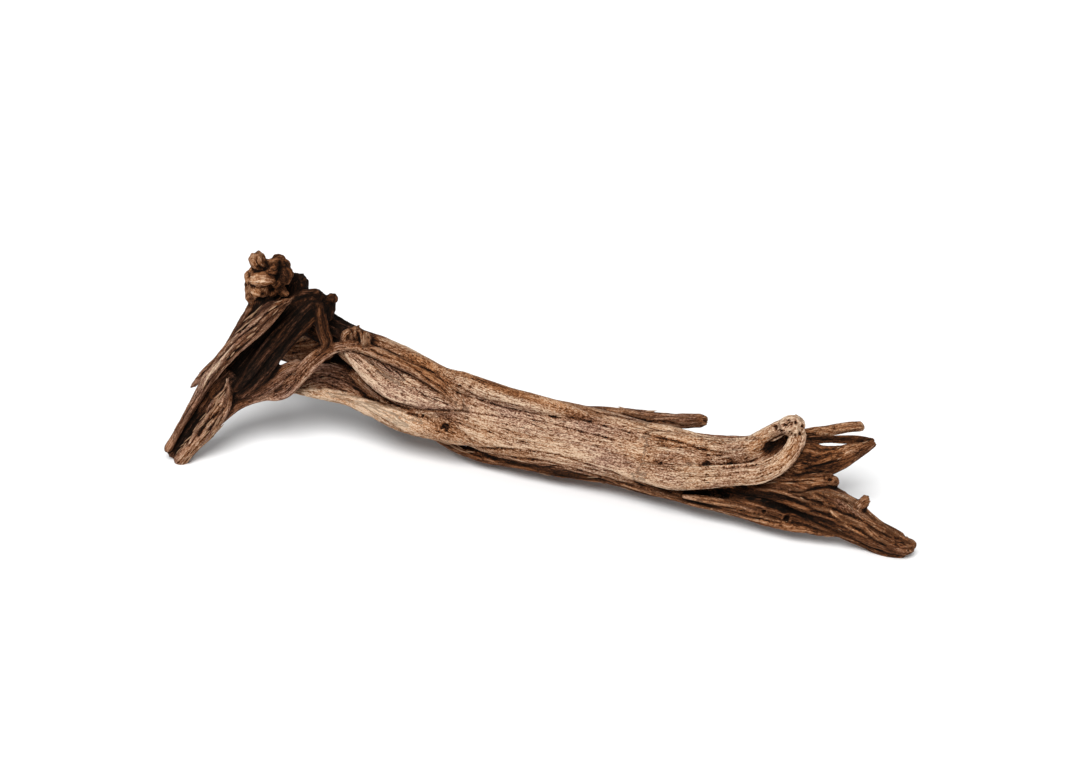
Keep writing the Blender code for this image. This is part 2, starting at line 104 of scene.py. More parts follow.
TRUNK = {
    "core": [
        (-122, 98, 80, 18, 24), (-105, 89, 72, 25, 32), (-85, 78, 61, 30, 36), (-60, 62, 50, 35, 38),
        (-30, 49, 36, 41, 40), (0, 40.5, 23, 43, 41), (30, 34.5, 9, 42, 38), (60, 28, -4, 38, 34),
        (90, 20, -15, 32, 28), (120, 13, -28, 26, 24), (136, 9.3, -36, 20, 18),
    ],
    "root_core": [
        (98, 18.2, -18, 22, 20), (108, 16, -23, 26, 24), (122, 12.6, -29, 26, 24), (150, 6, -42, 25, 22),
        (168, -1, -52, 24, 20), (185, -10.5, -62, 20, 17), (200, -19.5, -69, 16, 14),
        (214, -26.5, -74, 13, 12), (224, -29.8, -76, 10, 9),
    ],
    "hollow_back": [
        (-140, 72, 74, 12, 8), (-127, 78, 82, 22, 12), (-112, 78, 81, 30, 18), (-96, 72, 74, 30, 24),
        (-84, 66, 64, 28, 24), (-72, 60, 56, 24, 22),
    ],
    "top_strip": [
        (-103, 95.5, 66, 10, 12), (-85, 87.2, 55, 11, 12), (-73, 81.5, 48, 11.5, 12),
        (-60, 74.3, 41, 11.5, 12), (-45, 70.2, 34, 12, 12), (-20, 62.3, 22, 11, 12), (10, 55, 11, 9, 10),
        (30, 49.5, 6, 5, 6),
    ],
    "front_sheet": [
        (-66, 46.5, 38, 10, 8), (-40, 38.5, 26, 14, 9), (-15, 36.5, 15, 14, 9), (10, 32, 3, 13, 9),
        (35, 25.5, -9, 14, 9), (62, 17, -22, 13, 8),
    ],
    "keel": [
        (-64, 38.8, 41, 4, 7), (-52, 32, 35, 5, 8), (-40, 27.4, 30, 5.5, 9), (-20, 24.2, 21, 8.5, 10),
        (0, 20.8, 12, 10, 11), (20, 16.9, 3, 9, 11), (40, 13.4, -6, 7.5, 10), (60, 8.5, -15, 7, 9),
        (80, 3.2, -25, 6.5, 9), (100, -2.3, -35, 6, 9), (120, -7.3, -44, 6, 9), (140, -12.8, -53, 6.5, 9),
        (160, -17.6, -61, 6, 8), (179, -20.8, -67, 4, 5),
    ],
    "lower_lip": [
        (-148, 65.6, 61, 4, 4), (-135, 64.4, 60, 6, 4), (-120, 61.7, 58, 7.5, 6), (-110, 58.3, 55, 8.5, 8),
        (-100, 54.4, 50, 10.5, 10), (-90, 51, 45, 13, 13), (-80, 47.7, 40, 14.5, 15), (-68, 45, 36, 16, 16),
        (-50, 41, 30, 16, 16), (-30, 39, 24, 11, 14), (-14, 36, 20, 6, 8),
    ],
    "apron": [
        (-146, 70, 64, 8, 4), (-137, 73, 69, 14, 5), (-126, 73, 72, 19, 6), (-115, 69, 70, 18, 8),
        (-103, 62, 62, 13, 8), (-92, 57, 54, 9, 8),
    ],
    "crevice_floor": [
        (-114, 77, 73, 4, 4), (-106, 71, 67, 7, 7), (-98, 65, 59.5, 9, 8), (-91, 60.5, 51.5, 10, 8),
        (-84, 57, 45, 9, 8), (-74, 55.5, 38.5, 9, 8), (-62, 54.5, 32.5, 8, 8), (-50, 54, 28, 5, 6),
    ],
    "inner_sheet": [
        (-117, 90.5, 62, 5, 7), (-109, 84, 57, 11, 8), (-99, 76.5, 51, 17, 8), (-88, 70.5, 45, 21, 9),
        (-75, 66, 39, 19.5, 9), (-62, 61, 33, 13.5, 8), (-53, 57.5, 29, 7.5, 7), (-46, 54.5, 26, 3, 5),
    ],
    "sash": [
        (-195, 46, 44, 7, 6), (-187, 53.6, 48, 8, 6), (-178, 59, 51, 7.2, 6), (-166, 62.6, 53, 7, 5),
        (-155, 65.3, 54, 10.5, 4.5), (-147, 72, 54, 10.5, 4), (-140, 79.5, 54, 10, 4), (-133, 86, 55, 9, 4),
        (-124, 91, 57, 6.5, 5), (-113, 93, 58, 6, 6), (-103, 90.5, 54, 6.5, 8), (-93, 86.3, 48, 6.5, 9),
        (-83, 82, 43.2, 6.5, 10), (-74, 77.5, 39.4, 6.5, 10), (-65, 72, 35.4, 6.5, 10),
        (-57, 66, 32.4, 6, 9), (-49, 59.5, 30, 5, 8), (-42, 54.5, 29, 3, 6),
    ],
    "stub": [
        (10, 51, 28, 10, 14), (40, 50, 22, 13, 14), (60, 48.5, 17, 12, 12), (76, 47.6, 13.5, 10, 11),
        (88, 47.5, 12, 9.3, 10), (100.8, 47.7, 11, 8.6, 10),
    ],
    "back_leg": [
        (-95, 78, 72, 22, 26), (-88, 68, 82, 19, 22), (-80, 58.5, 90, 14, 16), (-74, 51, 94, 11, 12),
        (-72, 48, 95, 8, 9),
    ],
    "back_ridge": [
        (-95, 86, 84, 8, 10), (-70, 74, 79, 12, 14), (-40, 60, 68, 14, 16), (-5, 47, 50, 15, 18),
        (30, 37, 31, 14, 16), (65, 30, 13, 13, 14), (100, 24, -4, 12, 13), (130, 19, -18, 10, 11),
        (150, 16, -28, 7, 8),
    ],
    "under_ridge": [
        (-80, 64, 65, 8, 10), (-50, 46, 51, 11, 13), (-15, 33, 35.5, 13, 14), (20, 25, 19.5, 12, 14),
        (60, 18, 1, 11, 12), (100, 10, -15, 10, 10), (140, 1.5, -33, 8, 8),
    ],
}

HEAD = {
    "web": [
        (-136, 113, 73, 12, 14), (-124, 104.6, 78, 13, 20), (-112, 97.6, 76, 14, 22),
        (-100, 91, 72, 16, 24),
    ],
    "web_low": [
        (-142, 106, 76, 12, 12), (-132, 102, 77, 14, 14), (-122, 97, 78, 16, 16), (-110, 92, 74, 20, 20),
    ],
    "collar_a": [(-118.5, 95, 60, 3, 5), (-117, 99.5, 60, 5, 8), (-112.5, 102.5, 60, 4.5, 8)],
    "collar_b": [(-113, 96, 58, 6, 8), (-111, 100.5, 60, 8, 9), (-107, 102, 61, 6, 9)],
    "collar_c": [(-104.5, 92, 55, 4, 8), (-105, 97, 57, 7, 10), (-106, 101.5, 60, 6.5, 10)],
    "outer_strip": [
        (-170, 121, 64, 6, 10), (-175, 112.5, 63, 6, 9), (-180, 102.5, 62, 6, 8), (-185, 94, 60, 5.5, 6),
        (-191.5, 85.5, 58, 5, 5), (-199.5, 77.5, 56, 5, 4), (-209.3, 67.6, 54, 3, 3),
    ],
    "left_wall": [
        (-156, 119, 58, 8, 12), (-166, 112, 57, 9, 13), (-176, 102.5, 56, 8, 13), (-185, 91.5, 55, 7, 11),
        (-193.5, 81, 53, 6, 9), (-201, 72, 51, 5, 8),
    ],
    "left_rim": [
        (-149.5, 120.5, 52, 2.5, 4), (-155, 117, 51.5, 6.5, 6), (-163, 111, 50, 10, 7),
        (-173, 103, 50, 10.5, 7), (-182.5, 93.5, 50, 9, 7), (-191, 84, 49, 8, 7), (-198.5, 74, 48, 7.5, 7),
        (-204.6, 63.4, 46, 5.5, 6), (-210.8, 52.3, 43, 4.5, 6), (-216.6, 42.2, 41, 4.5, 6),
        (-223.9, 29.3, 38.5, 5, 6),
    ],
    "hollow_floor": [
        (-143, 119, 64, 12, 8), (-156, 106, 63, 18, 7), (-169, 92, 61, 20, 7), (-181, 78, 58, 19, 7),
        (-193, 66.5, 56, 14, 7),
    ],
    "channel": [
        (-183, 77, 55, 12, 6), (-190, 69, 52.5, 14, 6), (-197, 60, 50, 15, 6), (-204.5, 49.5, 47, 15, 6),
        (-212, 39, 44, 14, 6), (-220.5, 25.4, 40.5, 11, 6),
    ],
    "rib_a": [
        (-134, 121.5, 61, 8, 6), (-146, 110, 59, 9, 6), (-157, 98.5, 57, 9.5, 6), (-167, 86.5, 55, 9.5, 6),
        (-176, 75, 52.5, 8, 6), (-184, 65, 50, 4, 5),
    ],
    "rib_b": [
        (-133, 115, 62, 8, 7), (-142, 106, 60.5, 9, 7), (-150, 97, 59, 8, 6), (-158, 87.5, 57, 8.5, 6),
        (-166, 77.5, 55, 11, 6), (-174, 69, 53, 11, 6), (-183, 61.5, 51, 6, 6),
    ],
    "rib_join": [
        (-140, 113, 64, 12, 7), (-152, 101, 62, 13, 7), (-163, 88, 60, 14, 7), (-174, 75, 57, 15, 7),
        (-185, 63, 54, 12, 7),
    ],
    "tongue": [
        (-143, 82.5, 58, 5, 6), (-151, 78.8, 57, 8.5, 6), (-158.5, 73.5, 56, 11, 6), (-168, 67, 54, 10, 7),
        (-181, 61, 52, 5, 6),
    ],
    "toe_back": [(-180, 74, 58, 8, 6), (-185, 64, 56, 10, 6), (-190, 56, 53, 11, 6), (-196, 48, 49, 10, 6)],
    "toe_strip": [
        (-187, 70, 49, 3, 4), (-188, 64, 47.5, 7, 6), (-190.5, 58, 46, 12, 8), (-195, 50.5, 43, 13, 9),
        (-200.5, 42, 41, 12, 9), (-206.8, 34.6, 38.5, 10.5, 9), (-212, 28.2, 37, 9.5, 8),
        (-218, 21.2, 36, 8, 7),
    ],
    "strut": [
        (-134.5, 120, 60, 7, 8), (-132, 111, 60, 7.5, 7), (-130, 101, 60, 7, 7), (-128, 94, 59, 7, 6),
        (-131, 88, 57, 4, 5),
    ],
    "hind_prong": [
        (-120, 97, 84, 22, 20), (-134, 93, 92, 24, 20), (-147, 91.5, 99, 18.5, 18),
        (-158, 92.3, 104, 12.5, 13), (-168, 93.5, 108, 8, 8),
    ],
    "knob_base": [
        (-173, 110, 64, 8, 12), (-169, 121, 66, 14, 16), (-166, 130, 67, 23, 20), (-162.5, 137, 67, 22, 19),
        (-161, 144, 67, 16, 14),
    ],
    "knob_left": [
        (-166, 139, 66, 8, 9), (-170, 144.5, 64, 9, 9), (-171.5, 149, 64, 7.5, 8),
    ],
    "knob_right": [(-160, 136, 66, 12, 12), (-157, 141.5, 66, 12.5, 12), (-155, 146.7, 66, 10, 9)],
    "knob_side": [
        (-158, 138, 62, 8, 9), (-153.5, 136.3, 61.5, 9.5, 10), (-152, 131, 63, 7, 9),
    ],
    "knob_cheek": [
        (-174, 132.5, 62, 6, 8), (-170, 132.7, 58.5, 9, 9), (-164, 133, 57.5, 8, 9),
        (-158.5, 131.7, 60, 5, 7),
    ],
    "knob_foot": [
        (-172.3, 127, 62, 6, 7), (-170, 125.5, 59, 8, 8), (-167, 124.3, 61, 6, 7),
    ],
    "knob_web": [(-163, 124, 71, 14, 12), (-154, 124, 73, 16, 12), (-145, 124, 74, 13, 12)],
    "horn": [
        (-152, 112, 69, 16, 14), (-148, 120, 72, 16, 14), (-146, 128, 74, 14, 13),
        (-144, 136, 75, 11.5, 12),
    ],
    "crown": [
        (-152, 117, 64, 8, 9), (-143, 121, 66, 10.5, 10), (-136, 122, 66, 9.5, 10), (-129, 122, 66, 8, 9),
    ],
    "right_knot": [(-130, 108, 68, 11, 12), (-128.5, 116, 67, 12, 12), (-128, 122.5, 66, 11, 10)],
    "right_knot_tip": [(-128, 122.5, 66, 7, 8), (-125, 122, 65, 7, 8), (-125.5, 117.5, 65, 5.5, 7)],
}

ROOT = {
    "front_lobe": [
        (28, 22, 2, 8, 8), (45, 19.5, -11, 10, 8), (62, 16.8, -22, 12, 8), (80, 13, -33, 14, 7),
        (100, 13.5, -42, 13.5, 6), (118, 15, -48, 12.5, 5.5), (132, 16.2, -50, 12.4, 5.5),
        (143.5, 21.8, -48, 11, 5.5), (151.5, 30.4, -43, 9.6, 6), (155, 38, -38, 9.5, 7),
        (155.5, 43.5, -35, 7.5, 7),
    ],
    "valley": [
        (35, 30, 2, 22, 10), (55, 28.5, -9, 26, 12), (70, 26.5, -18, 29, 12), (85, 24.8, -25.5, 30, 11),
        (105, 23, -31.5, 28, 9), (122, 24.5, -37, 24, 7), (131, 27.2, -36.5, 19, 6),
        (138, 31, -28.5, 12, 6), (146, 37, -25, 8, 6),
    ],
    "back_lobe": [
        (40, 41, 4, 13, 10), (65, 40, -4, 13, 9), (85, 36, -12, 13, 8), (100, 32, -19, 13, 7),
        (115, 31, -25, 11.5, 6), (127, 33, -28, 12, 6), (137, 39, -29, 10.6, 6), (146, 43.7, -31, 9.5, 7),
        (154, 46, -34, 8, 7),
    ],
    "back_edge": [
        (85, 38, -2, 6, 8), (103, 36.3, -9, 5.5, 6), (118, 36.5, -15, 5, 5), (131, 38, -20, 4, 5),
    ],
    "broken_end": [(145, 41, -33, 8, 8), (152, 44.8, -35, 12, 9), (159, 44, -36, 10, 8)],
    "mid_strand": [
        (85, 2.5, -33, 2.5, 5), (100, 0.3, -38, 5, 7), (115, -2.5, -43, 5.5, 8), (130, -5.8, -48, 6, 8),
        (141, -8.5, -52, 6, 8), (147.5, -10.8, -54, 5, 6),
    ],
    "strand_a": [
        (112, 1, -40, 4, 7), (130, -3.5, -48, 5, 8), (150, -9, -56, 5.5, 8), (170, -15, -63, 6, 8),
        (190, -23.5, -68, 5.5, 8), (209, -31.5, -73.5, 5.5, 7), (219, -33, -75, 4.5, 6),
    ],
    "strand_b": [
        (106, 5, -34, 2, 3), (120, 3.5, -42, 5, 7), (150, -2.5, -54, 6, 9), (170, -8.5, -61, 6.5, 9),
        (190, -17, -67, 7, 9), (212, -26, -74, 6, 8), (223, -30, -76.5, 6, 6),
    ],
    "strand_c": [
        (116, 7.5, -36, 2, 3), (135, 6, -45.5, 5, 7), (155, 2, -52, 6, 9), (172, -3, -58, 7, 9),
        (190, -10, -64, 7, 9), (206, -17.5, -69, 7, 8), (219, -23.5, -73.5, 6, 7),
    ],
    "strand_d": [
        (118, 9.5, -35, 2, 3), (135, 8, -43.5, 5, 7), (155, 5, -50, 5.5, 9), (172, 4, -54, 7, 9),
        (181.5, 1, -57, 7, 9), (194, -5.5, -62, 6.5, 8),
    ],
    "stump": [
        (124, 12, -34, 3, 4), (140, 11, -41, 8, 9), (155, 10, -46, 8.5, 10), (168, 11, -49, 9.5, 10),
        (179.5, 11, -50, 9, 9),
    ],
    "wedge_prong": [
        (148, 23, -39, 24, 12), (158, 24.5, -38, 23, 10), (168, 23, -38, 18.5, 8), (178, 25, -35, 14, 7),
        (188.5, 29.6, -30, 10, 6), (196.5, 32.2, -26, 5.5, 5), (201, 34.7, -23.5, 4, 4),
    ],
    "wedge_wall": [
        (150, 35, -32, 9, 6), (162, 36.3, -28, 6, 4.5), (172, 36.6, -25, 4.6, 4), (182, 36.6, -22, 5.4, 4),
        (192, 36.2, -21.5, 5, 4), (200.8, 35.4, -22, 3.2, 3.5),
    ],
    "upper_prong": [
        (146, 35, -28, 7, 8), (160, 39.8, -22, 6, 7), (172, 41.4, -17, 6.6, 6), (184, 43.3, -13, 6.9, 6),
        (195, 43.8, -10, 6.6, 5.5),
    ],
    "nub": [(188, -7, -63, 9, 8), (193.3, -2.3, -62, 7, 7.5), (197.6, 1.2, -61.5, 8, 7.5)],
    "toe_tip": [(213, -24.5, -73, 9, 9), (221, -25.8, -75, 6.5, 7), (226, -26.8, -76.5, 4, 4)],
}

# A finish is a row of these columns: its tone and warmth, how strongly flutes stand out and the gap between
# them, how strongly fibres, layers, cracks, roughness and burls do, how far the limb melts into those
# beside it, and how ragged its ends are.
FINISH_COLUMNS = (
    "tone", "warmth", "flute", "gap", "fibre", "layer", "crack", "rough", "burl", "melt", "ragged"
)
FINISHES = {
    "face": (0.70, 0.60, 0.18, 6.0, 0.19, 0.12, 0.4, 0.10, 0.0, 1.0, 0.5),
    "flap": (0.64, 0.76, 0.30, 5.0, 0.24, 0.12, 0.4, 0.10, 0.0, 1.0, 0.5),
    "lobe": (0.67, 0.80, 0.30, 5.0, 0.24, 0.12, 0.4, 0.12, 0.0, 0.60, 0.8),
    "lip": (0.77, 1.25, 0.45, 4.0, 0.35, 0.30, 0.5, 0.14, 0.0, 0.35, 0.5),
    "keel": (0.30, 0.85, 0.80, 4.0, 0.26, 0.50, 0.9, 0.10, 0.0, 0.35, 1.0),
    "apron": (0.42, 0.45, 0.60, 3.2, 0.32, 0.10, 0.6, 0.06, 0.0, 0.9, 0.5),
    "lens": (0.71, 0.42, 0.10, 2.4, 0.22, 0.00, 0.1, 0.08, 0.0, 0.7, 0.3),
    "crevice": (0.52, 0.75, 0.40, 3.0, 0.24, 0.05, 0.4, 0.10, 0.0, 0.6, 0.3),
    "sash": (0.50, 0.45, 0.40, 3.4, 0.26, 0.10, 0.5, 0.05, 0.0, 0.4, 0.5),
    "stub": (0.42, 0.75, 0.60, 4.0, 0.26, 0.30, 0.8, 0.08, 0.0, 0.3, 2.0),
    "rim": (0.32, 0.50, 0.55, 2.3, 0.38, 0.30, 1.0, 0.12, 0.0, 0.10, 3.0),
    "slab": (0.21, 0.20, 0.45, 3.0, 0.30, 0.20, 0.7, 0.08, 0.0, 0.30, 1.0),
    "trough": (0.20, 0.25, 0.20, 4.0, 0.18, 0.10, 0.3, 0.05, 0.0, 0.6, 0.5),
    "rib": (0.05, 0.35, 0.80, 3.6, 0.40, 0.30, 1.0, 0.10, 0.0, 0.15, 2.0),
    # Painted shade on dark wood: the head's deep hollows are given no tone at all.
    "shaded_hollow": (0.00, 0.15, 0.60, 4.0, 0.30, 0.30, 0.8, 0.20, 0.0, 0.3, 1.0),
    "toe": (0.44, 0.45, 0.80, 2.4, 0.46, 0.30, 1.0, 0.16, 0.0, 0.10, 2.0),
    "strut": (0.20, 0.85, 0.60, 3.0, 0.36, 0.30, 0.8, 0.12, 0.0, 0.2, 1.0),
    "collar": (0.40, 0.80, 0.80, 2.8, 0.40, 0.30, 0.8, 0.24, 0.3, 0.3, 1.0),
    # Painted deep shade on dark wood: the web and horn behind the head are coloured nearly black.
    "dark": (0.03, 0.20, 0.80, 4.5, 0.34, 0.50, 0.8, 0.20, 0.3, 0.3, 2.0),
    "knob": (0.34, 1.00, 0.10, 5.0, 0.00, 0.00, 0.0, 0.50, 1.0, 0.3, 0.5),
    "crown": (0.12, 0.70, 0.50, 3.5, 0.26, 0.40, 0.4, 0.30, 0.8, 0.3, 1.5),
    "root": (0.33, 1.00, 1.00, 3.8, 0.34, 0.35, 1.2, 0.06, 0.0, 0.15, 1.0),
    "tip": (0.33, 1.00, 0.60, 3.4, 0.32, 0.30, 0.7, 0.50, 0.8, 0.2, 1.5),
    "prong": (0.28, 1.00, 0.80, 3.6, 0.34, 0.30, 1.0, 0.08, 0.0, 0.2, 1.5),
    "ember": (0.42, 1.15, 0.70, 3.6, 0.34, 0.30, 0.9, 0.12, 0.0, 0.2, 0.4),
    "broken": (0.98, 1.00, 0.20, 3.0, 0.20, 0.10, 0.2, 0.50, 0.6, 0.1, 1.0),
    "back": (0.34, 0.65, 0.80, 5.0, 0.34, 0.40, 0.9, 0.12, 0.0, 0.6, 1.5),
}
# The limbs of each finish.
FINISH_OF = {
    "face": ("core", "top_strip", "front_sheet"),
    "flap": ("valley",),
    "lobe": ("front_lobe", "back_lobe"),
    "lip": ("lower_lip",),
    "keel": ("keel", "mid_strand"),
    "apron": ("apron",),
    "lens": ("inner_sheet",),
    "crevice": ("crevice_floor",),
    "sash": ("sash", "tongue"),
    "stub": ("stub",),
    "rim": ("outer_strip", "left_rim"),
    "slab": ("left_wall",),
    "trough": ("channel", "notch_floor"),
    "rib": ("rib_a", "rib_b", "rib_join"),
    # The head's deep hollows, coloured with painted shade.
    "shaded_hollow": ("hollow_floor", "hollow_back", "toe_back"),
    "toe": ("toe_strip",),
    "strut": ("strut",),
    "collar": ("collar_a", "collar_b", "collar_c"),
    # Coloured nearly black as painted deep shade.
    "dark": ("web", "web_low", "horn"),
    "knob": (
        "knob_base", "knob_left", "knob_right", "knob_side", "knob_cheek", "knob_foot", "knob_web",
        "knob_top", "knob_middle", "knob_low",
    ),
    "crown": ("crown", "right_knot", "right_knot_tip"),
    "root": ("root_core", "strand_a", "strand_b", "strand_c", "strand_d", "stump"),
    "tip": ("toe_tip", "nub"),
    "prong": ("wedge_prong", "wedge_wall"),
    "ember": ("upper_prong",),
    "broken": ("broken_end",),
    "back": ("back_leg", "back_ridge", "under_ridge", "hind_prong", "back_edge"),
}
# A limb that grows out of another takes over from it slowly, over this length.
FADE_IN = {
    "front_lobe": 30.0, "valley": 30.0, "back_lobe": 30.0, "front_sheet": 15.0, "top_strip": 10.0,
    "root_core": 20.0,
}
# Limbs whose grain runs on from the core.
GRAIN_OF_CORE = ("core", "top_strip", "front_sheet", "keel", "lower_lip", "back_ridge", "under_ridge")

# Small lumps of the knob, and the floor of the notch in the broken end. They have no strands, and come
# last, because each limb's number seeds its draws.
LUMPS = {
    "knob_top": [(-165, 142, 65, 7, 8), (-160, 142, 64, 7, 8), (-155, 143, 65, 8, 8)],
    "knob_middle": [(-163.5, 138, 60, 5, 6), (-160.5, 138, 58, 6.5, 6), (-157.5, 139, 60, 5, 5)],
    "knob_low": [(-158, 128, 63, 5, 7), (-155, 125.5, 62.5, 7, 8), (-152.5, 123.5, 64, 5, 7)],
    "notch_floor": [
        (133, 31.5, -21, 8, 5), (141, 35, -22, 12, 6), (148, 39, -23, 11, 6), (154, 42, -26, 7, 6),
    ],
}

# Strands are thin sweeps that lie along a limb's wall. A row is (how many, how thick, share of the limb
# that they are long, how far they run past its start, and past its end).
STRANDS = {
    "left_rim": (12, 2.5, 0.45, 6, 2),
    "left_wall": (8, 2.4, 0.5, 4, 0),
    "outer_strip": (5, 2.0, 0.6, 0, 2),
    "rib_a": (7, 2.3, 0.6, 0, 2),
    "rib_b": (8, 2.3, 0.6, 0, 3),
    "rib_join": (9, 2.4, 0.5, 0, 3),
    "hollow_floor": (3, 2.2, 0.5, 0, 0),
    "toe_strip": (10, 2.1, 0.55, 6, 2),
    "tongue": (4, 2.0, 0.6, 0, 0),
    "strut": (5, 1.9, 0.8, 0, 0),
    "hind_prong": (8, 2.6, 0.6, 0, 5),
    "web": (8, 2.6, 0.7, 3, 0),
    "web_low": (8, 2.6, 0.7, 3, 0),
    "horn": (8, 2.4, 0.7, 0, 3),
    "crown": (5, 2.4, 0.6, 3, 3),
    "collar_b": (3, 1.6, 0.8, 0, 0),
    "collar_c": (3, 1.6, 0.8, 0, 0),
    "keel": (14, 2.2, 0.25, 0, 0),
    "lower_lip": (9, 2.2, 0.3, 4, 0),
    "stub": (9, 2.4, 0.5, 0, 3),
    "back_leg": (10, 3.0, 0.6, 0, 2),
    "back_ridge": (12, 3.0, 0.35, 0, 6),
    "under_ridge": (12, 3.0, 0.35, 0, 5),
    "root_core": (14, 2.6, 0.45, 0, 2),
    "strand_a": (6, 2.1, 0.4, 0, 3),
    "strand_b": (6, 2.1, 0.4, 0, 3),
    "strand_c": (6, 2.1, 0.4, 0, 2),
    "strand_d": (6, 2.1, 0.5, 0, 2),
    "stump": (6, 2.2, 0.6, 0, 2),
    "wedge_prong": (10, 2.4, 0.5, 0, 2),
    "upper_prong": (6, 2, 0.6, 0, 0),
    "mid_strand": (4, 2.0, 0.5, 0, 2),
}

# Splinters are fine fibres that come loose. A row is (how many, how thick, how long, the shares of the limb
# between which they lie, how far they rise).
SPLINTERS = {
    "broken_end": (44, 0.8, 3.4, 0.2, 0.85, 0.8),
    "front_lobe": (20, 0.7, 7.0, 0.85, 0.98, 0.5),
    "back_lobe": (14, 0.7, 7.0, 0.85, 0.98, 0.5),
    "left_rim": (34, 0.9, 12.0, 0.0, 0.6, 0.9),
    "left_wall": (16, 0.9, 12.0, 0.0, 0.6, 0.9),
    "outer_strip": (8, 0.7, 9.0, 0.2, 0.85, 0.4),
    "toe_strip": (34, 0.9, 11.0, 0.0, 1.0, 0.9),
    "rib_join": (14, 0.8, 12.0, 0.1, 0.9, 0.7),
    "lower_lip": (50, 0.8, 11.0, 0.0, 0.75, 0.7),
    "apron": (16, 0.7, 9.0, 0.1, 0.8, 0.5),
    "collar_b": (5, 0.7, 4.0, 0.2, 0.8, 0.4),
    "collar_c": (5, 0.7, 4.0, 0.2, 0.8, 0.4),
    "keel": (36, 0.8, 12.0, 0.0, 1.0, 0.6),
    "root_core": (20, 0.8, 10.0, 0.3, 0.75, 0.4),
    "strand_c": (9, 0.8, 9.0, 0.2, 0.75, 0.6),
    "toe_tip": (5, 0.7, 3.0, 0.2, 0.7, 0.4),
    "wedge_prong": (10, 0.8, 9.0, 0.3, 0.9, 0.4),
    "upper_prong": (5, 0.7, 7.0, 0.3, 0.7, 0.4),
    "stub": (8, 0.8, 9.0, 0.3, 0.9, 0.4),
    "back_ridge": (20, 0.9, 12.0, 0.0, 1.0, 0.8),
    "under_ridge": (14, 0.9, 12.0, 0.0, 1.0, 0.7),
}

